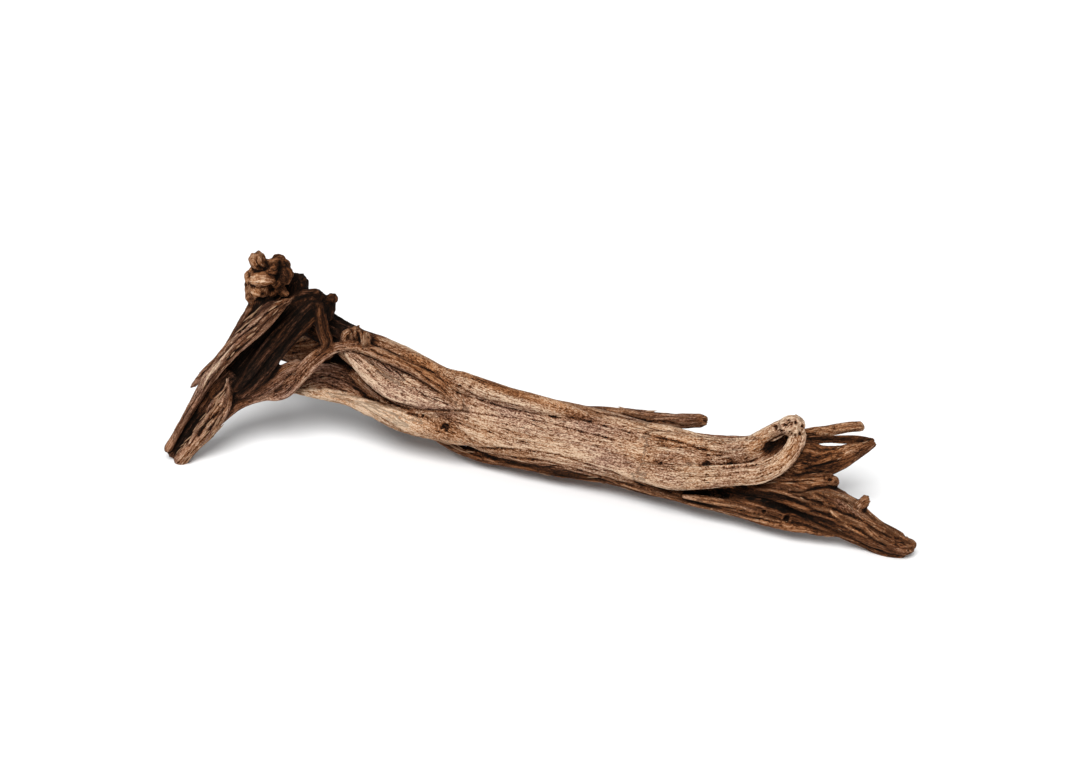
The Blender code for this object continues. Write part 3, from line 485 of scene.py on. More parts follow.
# A fold is (kind, width, depth, shade, points on the board): a groove is cut, and a step lifts the wood on
# the upper side of its line and undercuts it there.
FOLDS = {
    "upper_crack": (
        "groove", 0.7, 0.8, 0.6,
        [(-55, 71), (-48, 67.5), (-40, 63), (-30, 59.5), (-20, 57.5), (-10, 55.5)],
    ),
    "middle_crack": (
        "groove", 0.6, 0.6, 0.5,
        [(-45, 53), (-35, 51.5), (-20, 50), (-5, 48), (10, 45), (25, 41), (40, 37.5), (50, 35.5)],
    ),
    "right_crack": (
        "groove", 0.7, 0.7, 0.5,
        [(15, 50), (25, 48.5), (35, 45.5), (45, 43), (55, 40.5), (62, 38.5)],
    ),
    "recess_top": (
        "groove", 0.8, 1.2, 0.8,
        [(58, 41), (64, 40), (70, 38.5), (78, 36.5), (88, 33.5), (98, 30.5), (112, 28)],
    ),
    "recess_low": (
        "groove", 0.7, 0.6, 0.5,
        [(66, 36), (74, 32.5), (82, 30.5), (92, 28.5), (102, 27), (114, 26.5)],
    ),
    "recess": (
        "groove", 3.0, 1.6, 0.2,
        [(64, 38.5), (72, 35.5), (82, 32.8), (92, 30.5), (102, 28.7), (112, 27.5)],
    ),
    "sheet_edge": (
        "step", 1.8, 0.7, 0.45,
        [(-45, 31), (-30, 30.5), (-15, 29.5), (0, 27.5), (10, 25.5), (20, 22.5), (30, 19.5), (40, 16.5),
         (50, 13), (60, 10)],
    ),
    "keel_groove": ("groove", 0.8, 1.0, 0.6, [(-40, 28), (-25, 24.5), (-10, 22), (5, 20.5), (20, 18)]),
    "stub_edge": (
        "groove", 0.9, 1.2, 0.8,
        [(25, 55), (35, 53), (45, 51), (60, 48.5), (75, 47), (90, 43.5)],
    ),
    "pocket": (
        "groove", 0.9, 0.8, 0.5,
        [(-110, 76), (-105, 70), (-100, 66), (-95, 62), (-90, 59), (-85, 56.5), (-80, 55), (-70, 54),
         (-60, 53.5), (-50, 53.5), (-45, 53), (-35, 51.5)],
    ),
    "lens_top": (
        "groove", 0.8, 0.8, 0.6,
        [(-105, 93), (-95, 87), (-85, 84), (-75, 79), (-68, 73), (-60, 68), (-55, 63), (-52, 58)],
    ),
    "cross_left": ("groove", 0.5, 0.5, 0.6, [(-20, 38), (-22, 36)]),
    "cross_right": ("groove", 0.5, 0.8, 0.8, [(100, 17), (99, 13), (98, 10)]),
    "flap_valley": (
        "groove", 5.0, 2.4, 0.0,
        [(92, 23), (105, 22.5), (115, 22.5), (125, 24), (134, 28), (141, 33), (147, 39)],
    ),
    "valley_line": ("groove", 0.8, 0.6, 0.5, [(98, 22), (108, 21.5), (118, 22), (128, 23.5), (136, 27)]),
    "keel_top": (
        "groove", 0.8, 1.1, 0.8,
        [(-54, 33), (-42, 31.5), (-30, 30.8), (-18, 30.5), (-6, 29.3), (9, 27), (24, 22.5), (39, 18),
         (54, 12), (69, 6)],
    ),
    "keel_low": (
        "groove", 0.9, 1.2, 0.8,
        [(-66, 36), (-51, 30.7), (-36, 26.2), (-21, 22.5), (-6, 20.5), (9, 18.5), (24, 15), (39, 10.5),
         (54, 5)],
    ),
    "keel_mid": (
        "groove", 0.7, 0.8, 0.7,
        [(-40, 28.5), (-25, 26.5), (-10, 24.5), (5, 22.5), (20, 18.5), (40, 13), (60, 7)],
    ),
    "rim_split": (
        "groove", 1.4, 2.2, 1.0,
        [(-169, 115), (-172.5, 112), (-176, 107.5), (-179.5, 103), (-182, 99.5)],
    ),
    "rim_line_a": (
        "groove", 0.7, 1.1, 0.9,
        [(-156, 118), (-160, 116), (-165, 111.5), (-171, 105), (-177, 100.5), (-184, 94.5), (-190, 88),
         (-196, 81)],
    ),
    "rim_line_b": (
        "groove", 0.8, 1.2, 0.9,
        [(-155, 114.5), (-163, 108.5), (-170, 100.5), (-177, 93.5), (-185, 87), (-192, 79), (-199, 70.5),
         (-206, 59)],
    ),
    "rim_line_c": ("groove", 0.6, 0.9, 0.8, [(-188, 93.5), (-195, 85), (-201, 77.5), (-207, 70)]),
    "rim_line_d": (
        "groove", 0.6, 0.9, 0.8,
        [(-193, 80), (-199, 72.5), (-205, 63.5), (-210, 56), (-215, 48), (-221, 38)],
    ),
    "channel_edge": (
        "groove", 1.0, 1.6, 1.0,
        [(-187, 69), (-193, 61), (-197, 56.5), (-203, 50), (-207.5, 45.5), (-210, 40.5), (-212.5, 35),
         (-217, 29)],
    ),
    "toe_split": (
        "groove", 1.3, 2.0, 1.0,
        [(-192, 54), (-196, 50), (-200, 46), (-203.5, 41.5), (-206, 38)],
    ),
    "toe_line_a": (
        "groove", 0.6, 1.1, 0.9,
        [(-189, 66), (-191, 60), (-195, 54.5), (-200, 48.5), (-206, 40), (-211, 31)],
    ),
    "toe_line_b": (
        "groove", 0.7, 1.1, 0.9,
        [(-187, 62), (-190, 55), (-194, 49), (-199, 41), (-204, 34), (-211, 26)],
    ),
    "toe_line_c": ("groove", 0.6, 0.9, 0.8, [(-188, 59), (-188.5, 55), (-191, 49), (-195, 43), (-200, 36)]),
    "slab_line_a": (
        "groove", 0.9, 1.2, 0.9,
        [(-138, 121), (-148, 111), (-158, 100), (-168, 88), (-178, 75)],
    ),
    "slab_line_b": (
        "groove", 0.7, 1.0, 0.8,
        [(-137, 115), (-146, 105), (-155, 94), (-163, 84), (-170, 75), (-178, 67)],
    ),
    "under_flap": (
        "groove", 2.4, 1.8, 0.9,
        [(92, 3.5), (104, 4.5), (116, 4.2), (127, 2), (137, -1.5), (145, -5), (151, -9.5)],
    ),
    "strand_low": ("groove", 0.8, 1.2, 0.9, [(92, -1), (108, -5.5), (124, -9.7), (138, -13), (148, -15.5)]),
    "root_line_a": (
        "groove", 0.9, 1.4, 0.9,
        [(120, 4), (135, -1), (148, -5.5), (160, -10.5), (175, -18), (188, -24.5), (200, -29.5),
         (212, -32)],
    ),
    "root_line_b": (
        "groove", 0.9, 1.3, 0.9,
        [(138, 5), (152, 0), (164, -6), (176, -11), (190, -17.5), (204, -26.5), (216, -31)],
    ),
    "root_line_c": (
        "groove", 0.8, 1.2, 0.8,
        [(146, 4), (163, 0), (175, -5), (190, -11), (204, -19), (215, -25.5)],
    ),
    "root_line_d": ("groove", 0.7, 1.2, 1.0, [(143, 11.5), (152, 11.3), (160, 12), (167, 11.3)]),
    "root_line_e": ("groove", 0.9, 1.6, 1.0, [(148, 5.5), (157, 5), (164, 7), (172, 8), (181, 7)]),
    "root_line_f": ("groove", 0.5, 0.8, 0.8, [(150, 17), (158, 18.3), (166, 20.5), (175, 22.5), (186, 25)]),
    "root_line_g": ("groove", 0.8, 1.1, 0.9, [(160, 0.2), (166, -1.2), (172, -1), (178, -3)]),
    "ring": (
        "groove", 0.6, 0.9, 0.8,
        [(171, 16.5), (174, 17), (175.8, 14.5), (174.5, 11.8), (171.8, 11.5), (170.3, 13.5), (170.8, 16)],
    ),
    "lens_a": ("groove", 0.5, 0.5, 0.5, [(-107, 82), (-99, 73), (-91, 65), (-84, 59)]),
    "lens_b": ("groove", 0.5, 0.5, 0.5, [(-103, 84), (-95, 75), (-87, 67), (-79, 60)]),
    "lens_c": ("groove", 0.5, 0.5, 0.5, [(-98, 85), (-90, 77), (-81, 69), (-72, 61)]),
    "lens_d": ("groove", 0.5, 0.5, 0.5, [(-92, 82), (-84, 75), (-76, 68), (-66, 60)]),
    "strip_line": ("groove", 0.6, 0.7, 0.7, [(-94, 92), (-86, 87), (-78, 83), (-70, 79.5), (-60, 75)]),
    "collar_a": ("groove", 0.6, 1.0, 0.9, [(-113, 103), (-112.5, 99), (-111.5, 95)]),
    "collar_b": ("groove", 0.6, 1.0, 0.9, [(-110, 103.5), (-109.5, 99.5), (-108.5, 95)]),
    "collar_c": ("groove", 0.6, 1.0, 0.9, [(-107, 104), (-106.5, 100), (-105.5, 96)]),
    "knob_crease": ("groove", 1.1, 1.6, 0.9, [(-171, 140.5), (-167, 139.5), (-163.5, 140), (-160, 141.5)]),
    "knob_ledge": ("groove", 0.8, 0.8, 0.5, [(-174, 128.5), (-169, 129.4), (-164, 128.6), (-160, 129.4)]),
    "knob_base": ("groove", 1.2, 1.6, 0.9, [(-171, 121), (-166, 120.5), (-160, 121), (-155, 121.5)]),
    "knob_split": (
        "groove", 0.8, 1.4, 0.8,
        [(-157, 145), (-156, 141), (-156.5, 137), (-158, 133), (-158.5, 128)],
    ),
}

# A hole is (across, up, half width, half height, depth, width of the stain round it).
HOLES = {
    "knot": (-57, 44, 3.4, 2.8, 1.6, 4.0),
    "pin_hole": (-70.5, 50.5, 1.0, 1.0, 1.2, 0.6),
    "upper_hole_a": (-48, 68.5, 1.2, 1.0, 1.2, 0.8),
    "upper_hole_b": (-42, 68, 1.1, 0.9, 1.0, 0.8),
    "fleck": (72, 22, 1.6, 0.8, 0.9, 0.8),
    "ring_knot": (174, 12.4, 1.6, 1.6, 1.2, 1.0),
    "knob_cavity": (-162, 126, 3.2, 2.8, 3.4, 2.4),
    "end_a": (141.5, 43.5, 1.3, 1.8, 1.5, 0.5),
    "end_b": (147.0, 45.0, 1.7, 0.9, 1.5, 0.5),
    "end_c": (149.0, 47.2, 0.9, 1.4, 1.5, 0.5),
    "end_d": (153.5, 46.5, 0.8, 1.7, 1.2, 0.4),
    "end_e": (157.6, 43.5, 1.0, 2.2, 1.4, 0.5),
    "end_f": (150.0, 40.0, 1.3, 1.2, 1.6, 0.5),
    "end_g": (148.0, 37.4, 1.8, 0.9, 1.5, 0.5),
    "end_h": (144.8, 41.6, 1.8, 0.7, 1.1, 0.4),
    "end_i": (153.2, 38.5, 0.7, 1.5, 1.1, 0.4),
    "end_j": (156.0, 39.6, 0.8, 1.5, 1.1, 0.4),
    "strand_end": (147.6, -11.0, 1.9, 2.4, 2.4, 1.0),
    "strand_pit": (134.0, -7.0, 1.4, 1.1, 1.4, 0.7),
}

# A stain is (across, up, half length, half width, slope, change of tone, change of warmth). Most are the
# wood's own stains; those named shade are painted shade, and those marked below are painted highlights.
STAINS_AND_PAINTED_LIGHT = {
    "brown_patch": (21, 52, 12, 3.5, -0.35, -0.20, 0.15),
    "top_band": (-25, 68, 55, 2.5, -0.38, -0.26, 0.4),
    "ochre_left": (-74, 82, 34, 6, -0.58, -0.12, 0.9),
    "knot_halo": (-54, 43, 7, 4.5, -0.2, -0.14, 0.35),
    "light_patch": (-30, 57, 18, 4, -0.35, 0.10, -0.1),
    "flap_orange": (131, 33.5, 9, 3.5, 0.9, -0.04, 1.5),
    "lens_purple": (-72, 60, 18, 6, -0.45, -0.04, -0.3),
    "under_band": (2, 19, 60, 5.5, -0.38, -0.18, 0.6),
    # Pale fibres with a painted highlight along the rim's outer edge.
    "rim_pale_and_highlight": (-191.5, 86, 20, 2.2, 1.3, 0.34, -0.1),
    # Orange wood on the knob's lower left, lightened as a painted highlight.
    "knob_orange_highlight": (-171, 129, 7, 7, 0.0, 0.20, 0.7),
    "wedge_light": (186, 29.5, 6, 3.5, 0.3, 0.26, -0.2),
    "root_light": (188, -4.5, 12, 4.5, -0.62, 0.20, -0.3),
    "root_shade": (150, -6, 26, 5, -0.4, -0.12, 0.0),
    "rim_inner": (-171, 106.5, 8, 1.4, 0.95, 0.24, -0.1),
    "rim_low": (-201, 70, 14, 1.8, 1.35, 0.24, -0.1),
    "rim_top_shade": (-157, 115.5, 7, 4, 0.8, -0.12, 0.0),
    "knob_shade": (-155, 138, 7, 9, 0.0, -0.26, 0.0),
    "knob_top_light": (-170.5, 145, 4, 4, 0.0, 0.06, 0.0),
    # Orange wood along one of the root's ridges, lightened as a painted highlight.
    "orange_ridge_highlight": (191, -18, 20, 2.2, -0.5, 0.15, 0.7),
    # Orange wood on the top of a strand beside the keel, lightened as a painted highlight.
    "strand_highlight": (124, -6.5, 18, 1.8, -0.27, 0.16, 0.6),
    "wedge_shade": (158, 28, 7, 6, 0.0, -0.14, 0.0),
    "wedge_amber": (174, 27, 6, 5, 0.3, 0.06, 0.9),
    "wall_shade": (171, 36.8, 16, 1.9, 0.0, -0.20, -0.4),
    "lobe_edge": (150, 29, 10, 2.6, 1.3, -0.12, 0.6),
    "notch_shade": (141.3, 32.2, 7.5, 4.2, 0.9, -0.50, 0.2),
    "golden_top": (20, 56, 70, 3.5, -0.28, -0.06, 0.8),
    "golden_sash": (-62, 71, 16, 4, -0.85, -0.06, 0.9),
    "grey_middle": (-5, 43, 30, 5, -0.38, 0.03, -0.3),
    "rust_middle": (55, 27, 40, 4, -0.38, -0.04, 0.4),
    "lip_amber": (-105, 56, 34, 4, -0.32, -0.03, 0.7),
    "under_flap_shade": (120, 4.0, 24, 2.6, -0.12, -0.25, 0.0),
    "ember_light": (180, 44, 14, 2.4, 0.12, 0.06, 0.5),
    "knob_ledge": (-166, 131.5, 8, 1.2, 0.05, 0.14, 0.0),
    # Painted highlight on the collar's right edge.
    "collar_highlight": (-103.5, 98.5, 1.3, 4, 0.0, 0.16, 0.0),
    "collar_shade": (-99.5, 97, 2.2, 5, 0.0, -0.34, 0.0),
    "stub_end": (101, 48, 6, 6, 0.0, -0.22, 0.4),
}


def seen(across, up, back):
    """The points that lie back along the floor and are seen at (across, up) on the board: where the line
    from the eye through that place on the board meets the upright plane that far back."""
    rise, run = math.sin(LEAN), math.cos(LEAN)
    height = (up * EYE + run * up * back - rise * back * EYE) / (run * EYE + rise * up)
    away = run * back - rise * height
    return np.column_stack([across * (1 + away / EYE), back, height])


def on_board(points):
    """Where the eye sees the points on the board: their distance from it scales (across, up) back to it."""
    rise, run = math.sin(LEAN), math.cos(LEAN)
    away = run * points[:, 1] - rise * points[:, 2]
    up = run * points[:, 2] + rise * points[:, 1]
    return np.column_stack([points[:, 0], up]) / (1 + away / EYE)[:, None]


def run_of(places):
    """How far along the line through the places each of them lies: the sum of the distances up to it."""
    return np.concatenate([[0], np.cumsum(np.linalg.norm(np.diff(places, axis=0), axis=1))])


def curve_at(rows, at, along):
    """The rows, which lie at the distances at, read at the distances along on a smooth curve through
    them: between two rows it is the cubic with the value and the slope of each row at its ends."""
    slope = np.gradient(rows, at, axis=0)
    i = np.clip(np.searchsorted(at, along, side="right") - 1, 0, len(at) - 2)
    gap = (at[i + 1] - at[i])[:, None]
    t = (along - at[i])[:, None] / gap
    return (
        (2 * t**3 - 3 * t**2 + 1) * rows[i]
        + (t**3 - 2 * t**2 + t) * gap * slope[i]
        + (3 * t**2 - 2 * t**3) * rows[i + 1]
        + (t**3 - t**2) * gap * slope[i + 1]
    )


def smooth_rows(rows):
    """The rows of a sweep as a smooth curve: how far along each section lies, and its place and size.
    Sections are STEP apart, and closer at the round ends."""
    rows = np.array(rows, float)
    rows = np.column_stack([seen(*rows[:, :3].T), rows[:, 3:]])
    at = run_of(rows[:, :3])
    first_end = END_RINGS * rows[0, 3:5].min() / 2
    last_end = at[-1] - END_RINGS[::-1] * rows[-1, 3:5].min() / 2
    between = np.linspace(first_end[-1], last_end[0], max(2, round(at[-1] / STEP)))[1:-1]
    along = np.concatenate([first_end, between, last_end])
    return along, curve_at(rows, at, along)


def unit(vectors):
    """The vectors at length 1."""
    return vectors / np.maximum(np.linalg.norm(vectors, axis=-1, keepdims=True), 1e-12)


def smooth_step(low, high, value):
    """0 below low, 1 above high, and an easy curve between them."""
    t = np.clip((value - low) / (high - low), 0, 1)
    return t * t * (3 - 2 * t)


def noise(points, seed):
    """Gradient noise, about -1 to 1: each corner of a unit cell slopes its own way, and eased shares
    blend them."""
    cell = np.floor(points).astype(np.int64)
    inside = points - cell
    ease = inside**3 * (inside * (inside * 6 - 15) + 10)
    total = np.zeros(len(points))
    for corner in CORNERS:
        share = np.prod(np.where(corner == 1, ease, 1 - ease), axis=1)
        mixed = (cell + corner) @ np.array([374761393, 668265263, 1274126177]) + seed * 362437
        mixed = (mixed ^ (mixed >> 15)) * 739982445 & 0x7FFFFFFFFFFF
        mixed = (mixed ^ (mixed >> 12)) * 695872825 & 0x7FFFFFFFFFFF
        mixed ^= mixed >> 15
        for axis in range(3):
            lean = (mixed >> (10 * axis) & 0x3FF) / 511.5 - 1
            total += share * lean * (inside[:, axis] - corner[axis])
    return total * 1.7


class Limb:
    """A tapering sweep with a rounded, nearly oval section and round ends."""

    def __init__(self, along, path, width, depth):
        self.along, self.path, self.width, self.depth = along, path, width, depth
        self.ahead = unit(np.gradient(path, along, axis=0))
        self.out = unit(TO_VIEWER - (self.ahead @ TO_VIEWER)[:, None] * self.ahead)
        self.side = np.cross(self.ahead, self.out)

    def strand(self, start, finish, turn, thick, lift, splay, phase):
        """A thin sweep along this one's wall: at each place it lies where the section's corner at angle
        turn does, raised by lift at its start and at its end, and turn sways a little on the way. Past
        the limb's ends it goes straight on, splayed outwards."""
        along = np.linspace(start, finish, max(5, round((finish - start) / STEP)))
        held = np.clip(along, 0, self.along[-1])

        def at(values):
            """The limb's values read at the places that the strand passes."""
            return np.column_stack([np.interp(held, self.along, column) for column in values.T])

        wide, deep = at(np.column_stack([self.width, self.depth])).T / 2
        angle = turn + STRAND_SWAY * np.sin(along / STRAND_WAVE + phase)
        cos, sin = np.cos(angle)[:, None], np.sin(angle)[:, None]
        side, out = at(self.side), at(self.out)
        outwards = unit(side * cos / wide[:, None] + out * sin / deep[:, None])
        share = (along - start) / (finish - start)
        size = thick * (0.35 + 0.65 * np.sqrt(np.sin(math.pi * np.clip(share, 0.001, 0.999))))
        place = at(self.path) + side * cos * wide[:, None] + out * sin * deep[:, None]
        place += outwards * (lift[0] + (lift[1] - lift[0]) * share)[:, None]
        past = (along - held)[:, None]
        place += past * (at(self.ahead) + splay * np.sign(past) * outwards)
        return Limb(along - start, place, size, size)

    def skin(self, sides):
        """Points and faces: section i is centred on the path, and its corner at angle t lies at the
        signed powers |cos t|^(2/SQUARE) and |sin t|^(2/SQUARE) of its half width and half depth, drawn in
        at the round ends."""
        from_start = 1 - 2 * self.along / min(self.width[0], self.depth[0])
        from_finish = 1 - 2 * (self.along[-1] - self.along) / min(self.width[-1], self.depth[-1])
        shrink = np.sqrt(1 - np.clip(np.maximum(from_start, from_finish), 0, END_FLAT) ** 2)
        angle = np.arange(sides) * 2 * math.pi / sides
        wide, deep = (np.sign(f) * np.abs(f) ** (2 / SQUARE) for f in (np.cos(angle), np.sin(angle)))
        across = (self.width * shrink / 2)[:, None, None] * self.side[:, None, :] * wide[None, :, None]
        through = (self.depth * shrink / 2)[:, None, None] * self.out[:, None, :] * deep[None, :, None]
        points = (self.path[:, None, :] + across + through).reshape(-1, 3)
        rings = len(self.path)
        ring, corner = np.divmod(np.arange((rings - 1) * sides), sides)
        here, after = ring * sides, (corner + 1) % sides
        quads = np.column_stack([here + corner, here + after, here + sides + after, here + sides + corner])
        ends = [list(range(sides))[::-1], list(range((rings - 1) * sides, rings * sides))]
        return points, quads.tolist() + ends

    def nearest(self, points):
        """For each point, the section nearest to it, by the square of the distance less the point's own
        square."""
        found = np.empty(len(points), int)
        for start in range(0, len(points), CHUNK):
            some = points[start : start + CHUNK]
            apart = (self.path**2).sum(axis=1) - 2 * some @ self.path.T
            found[start : start + CHUNK] = apart.argmin(axis=1)
        return found

    def read(self, points):
        """(along, across, through, gap, ahead) of each point: its place in the limb, how far it is
        outside the wall, and the way that the limb runs there."""
        i = self.nearest(points)
        offset = points - self.path[i]
        forward = (offset * self.ahead[i]).sum(axis=1)
        across = (offset * self.side[i]).sum(axis=1)
        through = (offset * self.out[i]).sum(axis=1)
        least = np.minimum(self.width[i], self.depth[i]) / 2
        beyond = np.maximum(np.abs(forward) - STEP, 0)
        share = np.abs(2 * across / self.width[i]) ** SQUARE + np.abs(2 * through / self.depth[i]) ** SQUARE
        share = (share + (beyond / least) ** SQUARE) ** (1 / SQUARE)
        return self.along[i] + forward, across, through, (share - 1) * least, self.ahead[i]

    def box(self):
        """The lowest and highest corner of the space within reach of the limb."""
        reach = np.maximum(self.width, self.depth)[:, None] / 2 + NEAR
        return (self.path - reach).min(axis=0), (self.path + reach).max(axis=0)


def grown_limbs():
    """Every limb and strand by name, with its finish. The draws of the strands are seeded by their limb's
    number."""
    limbs, styles = {}, {}
    kind_of = {limb: kind for kind, names in FINISH_OF.items() for limb in names}
    rows_of = {**TRUNK, **HEAD, **ROOT, **LUMPS}
    for number, (name, rows) in enumerate(rows_of.items()):
        along, curve = smooth_rows(rows)
        host = Limb(along, curve[:, :3], curve[:, 3], curve[:, 4])
        limbs[name] = host
        styles[name] = dict(zip(FINISH_COLUMNS, FINISHES[kind_of[name]]))
        count, thick, share, before, after = STRANDS.get(name, (0, 0, 0, 0, 0))
        draw = np.random.default_rng(STRAND_SEED + number)
        for strand in range(count):
            length = along[-1] * share * draw.uniform(0.6, 1.4)
            start = draw.uniform(-before, max(along[-1] + after - length, 1.0))
            turn = math.pi * draw.uniform(-0.25, 1.25)
            size = thick * draw.uniform(0.75, 1.3)
            own = f"{name}_{strand}"
            lift = 2 * [(STRAND_PROUD - 0.5) * size]
            splay, phase = draw.uniform(-0.1, 0.25), draw.uniform(0, 6)
            limbs[own] = host.strand(start, start + length, turn, size, lift, splay, phase)
            styles[own] = dict(styles[name])
            styles[own]["tone"] = styles[name]["tone"] * draw.uniform(0.65, 1.5)
            styles[own]["warmth"] = styles[name]["warmth"] + draw.uniform(-0.25, 0.25)
            styles[own]["melt"] = min(styles[name]["melt"], 0.15)
            styles[own]["flute"] = 0.3 * styles[name]["flute"]
    return limbs, styles


def splinters(limbs, styles):
    """Fine fibres that come loose from a limb's wall, as points, faces and attributes. Each starts inside
    the wood and rises out of it along the grain."""
    points, faces, grain, shades = [], [], [], []
    for number, (host, (count, thick, length, first, last, lift)) in enumerate(SPLINTERS.items()):
        draw = np.random.default_rng(SPLINTER_SEED + number)
        for splinter in range(count):
            long = length * draw.uniform(0.5, 1.4)
            start = limbs[host].along[-1] * draw.uniform(first, last) - long / 2
            turn = math.pi * draw.uniform(-0.25, 1.25)
            size = thick * draw.uniform(0.6, 1.3)
            rise = (-0.8 - size, lift * draw.uniform(0.2, 1.0))
            if draw.uniform() < 0.3:
                rise = rise[::-1]
            splay, phase = draw.uniform(0, 0.5), draw.uniform(0, 6)
            thin = limbs[host].strand(start, start + long, turn, size, rise, splay, phase)
            new_points, new_faces = thin.skin(SPLINTER_SIDES)
            if new_points[:, 2].min() < REST[2] + OFF_FLOOR:
                continue
            faces += [[corner + sum(map(len, points)) for corner in face] for face in new_faces]
            points.append(new_points)
            along = np.repeat(thin.along, SPLINTER_SIDES) + 50.0 * splinter
            grain.append(np.column_stack([along, new_points[:, 0] / 4, new_points[:, 2] / 4]))
            tone = styles[host]["tone"] * draw.uniform(0.8, 1.4) + 0.03
            warmth = styles[host]["warmth"] * draw.uniform(0.6, 1.1)
            # Every splinter gets a little painted crease shade and a strong painted highlight.
            shades.append(np.tile([tone, warmth, 0.1, 0.6], (len(new_points), 1)))
    tone, warmth, crease_shade_and_dirt, ridge_highlight = np.vstack(shades).T
    attributes = {"grain": np.vstack(grain), "tone": tone, "warmth": warmth, "crease_shade_and_dirt": crease_shade_and_dirt, "ridge_highlight": ridge_highlight}
    return np.vstack(points), faces, attributes


def mesh_arrays(mesh):
    """The points in millimetres on the board's zero, the edges and the faces of four corners."""
    points = np.empty(len(mesh.vertices) * 3, np.float32)
    mesh.vertices.foreach_get("co", points)
    edges = np.empty(len(mesh.edges) * 2, np.int32)
    mesh.edges.foreach_get("vertices", edges)
    corners = np.empty(len(mesh.loops), np.int32)
    mesh.loops.foreach_get("vertex_index", corners)
    return points.reshape(-1, 3).astype(float) / MM + REST, edges.reshape(-1, 2), corners.reshape(-1, 4)


def point_normals(points, faces):
    """The normal at each point: the sum of the crossed diagonals of the faces round it, at length 1."""
    crossed = np.cross(points[faces[:, 2]] - points[faces[:, 0]], points[faces[:, 3]] - points[faces[:, 1]])
    corner = faces.ravel()
    return unit(np.column_stack([np.bincount(corner, np.repeat(part, 4), len(points)) for part in crossed.T]))


def relaxed(values, edges, times, share=0.5):
    """The values, a column for each kind, drawn towards the mean of their neighbours' so many times."""
    count = np.bincount(edges.ravel(), minlength=len(values))[:, None]
    for _ in range(times):
        mean = np.column_stack([
            np.bincount(edges[:, 0], column[edges[:, 1]], len(values))
            + np.bincount(edges[:, 1], column[edges[:, 0]], len(values))
            for column in values.T
        ]) / count
        values = values + share * (mean - values)
    return values


def melted(points, edges, times):
    """The points smoothed without shrinking: each pass draws them in towards their neighbours' mean and
    lets them out again a little further."""
    for _ in range(times):
        points = relaxed(points, edges, 1, 0.6)
        points = relaxed(points, edges, 1, -0.63)
    return points


def filled(points, edges, faces, amount, times):
    """The points with the creases filled: each pass lifts those that lie lower than their neighbours'
    mean up to it, by that share of the way."""
    for turn in range(times):
        if turn % 6 == 0:
            normals = point_normals(points, faces)
        lower = ((relaxed(points, edges, 1, 1.0) - points) * normals).sum(axis=1)
        points = points + (amount * np.maximum(lower, 0))[:, None] * normals
    return points


def grain_relief(along, across, through, style, seed):
    """How far the grain stands out, in millimetres. Lines that run along the limb are the zero crossings
    of a noise that is stretched along it: rounded flutes and fibres lie between them, cracks follow some
    of them, and layers end in steps. Roughness is noise of one size each way, and burl is rounded lumps
    between the crevices where such a noise is zero."""
    drift = 2.2 * noise(np.column_stack([along / 50, across / 16, through / 16]), seed)
    place = np.column_stack([along, across, through])

    def lines(long, gap, own_seed):
        """A noise whose lumps are that long along the limb and a gap wide across it, pushed aside by the
        drift."""
        flow = np.column_stack([along / long, (across + drift) / gap, (through + drift) / gap])
        return noise(flow, seed + own_seed)

    flutes = 1.6 * np.sqrt(np.abs(lines(120, style["gap"], 1))) - 0.8
    fibres = 2.2 * np.abs(lines(30, 1.5, 2)) - 0.5
    layers = 3.5 * lines(95, 8.0, 3)
    layers = np.floor(layers) + smooth_step(0.75, 1.0, layers - np.floor(layers))
    chance = smooth_step(0.0, 0.35, lines(45, 14.0, 4))
    cracks = -np.exp(-((lines(75, 5.5, 5) / 0.045) ** 2)) * chance
    lumps = noise(np.column_stack([along / 22, across / 9, through / 9]), seed + 6)
    height = style["flute"] * flutes + style["fibre"] * fibres + style["layer"] * layers
    height += style["crack"] * cracks + 0.35 * lumps
    height += style["rough"] * (noise(place / 2.6, seed + 7) + 0.6 * noise(place / 1.3, seed + 8))
    if style["burl"]:
        burl = 3.4 * np.abs(noise(place / np.array([6.8, 11.0, 11.0]), seed + 9)) - 1.1
        burl += 1.2 * np.abs(noise(place / 4.2, seed + 10)) - 0.2
        height += style["burl"] * burl
    return height


def torn_ends(limb, along, across, through, ahead, seed):
    """How far the ends are torn, as vectors: near an end each splinter is pushed in or out along the limb
    by a noise of its place across the limb."""
    least = min(limb.width.min(), limb.depth.min()) / 2
    last = smooth_step(-1.2 * least, 0, along - limb.along[-1])
    first = smooth_step(-1.2 * least, 0, -along)
    push = noise(np.column_stack([across / 1.7, through / 1.7, along / 40]), seed + 11)
    push += 0.6 * noise(np.column_stack([across / 0.9, through / 0.9, along / 40]), seed + 12)
    return (push * (last - first))[:, None] * ahead


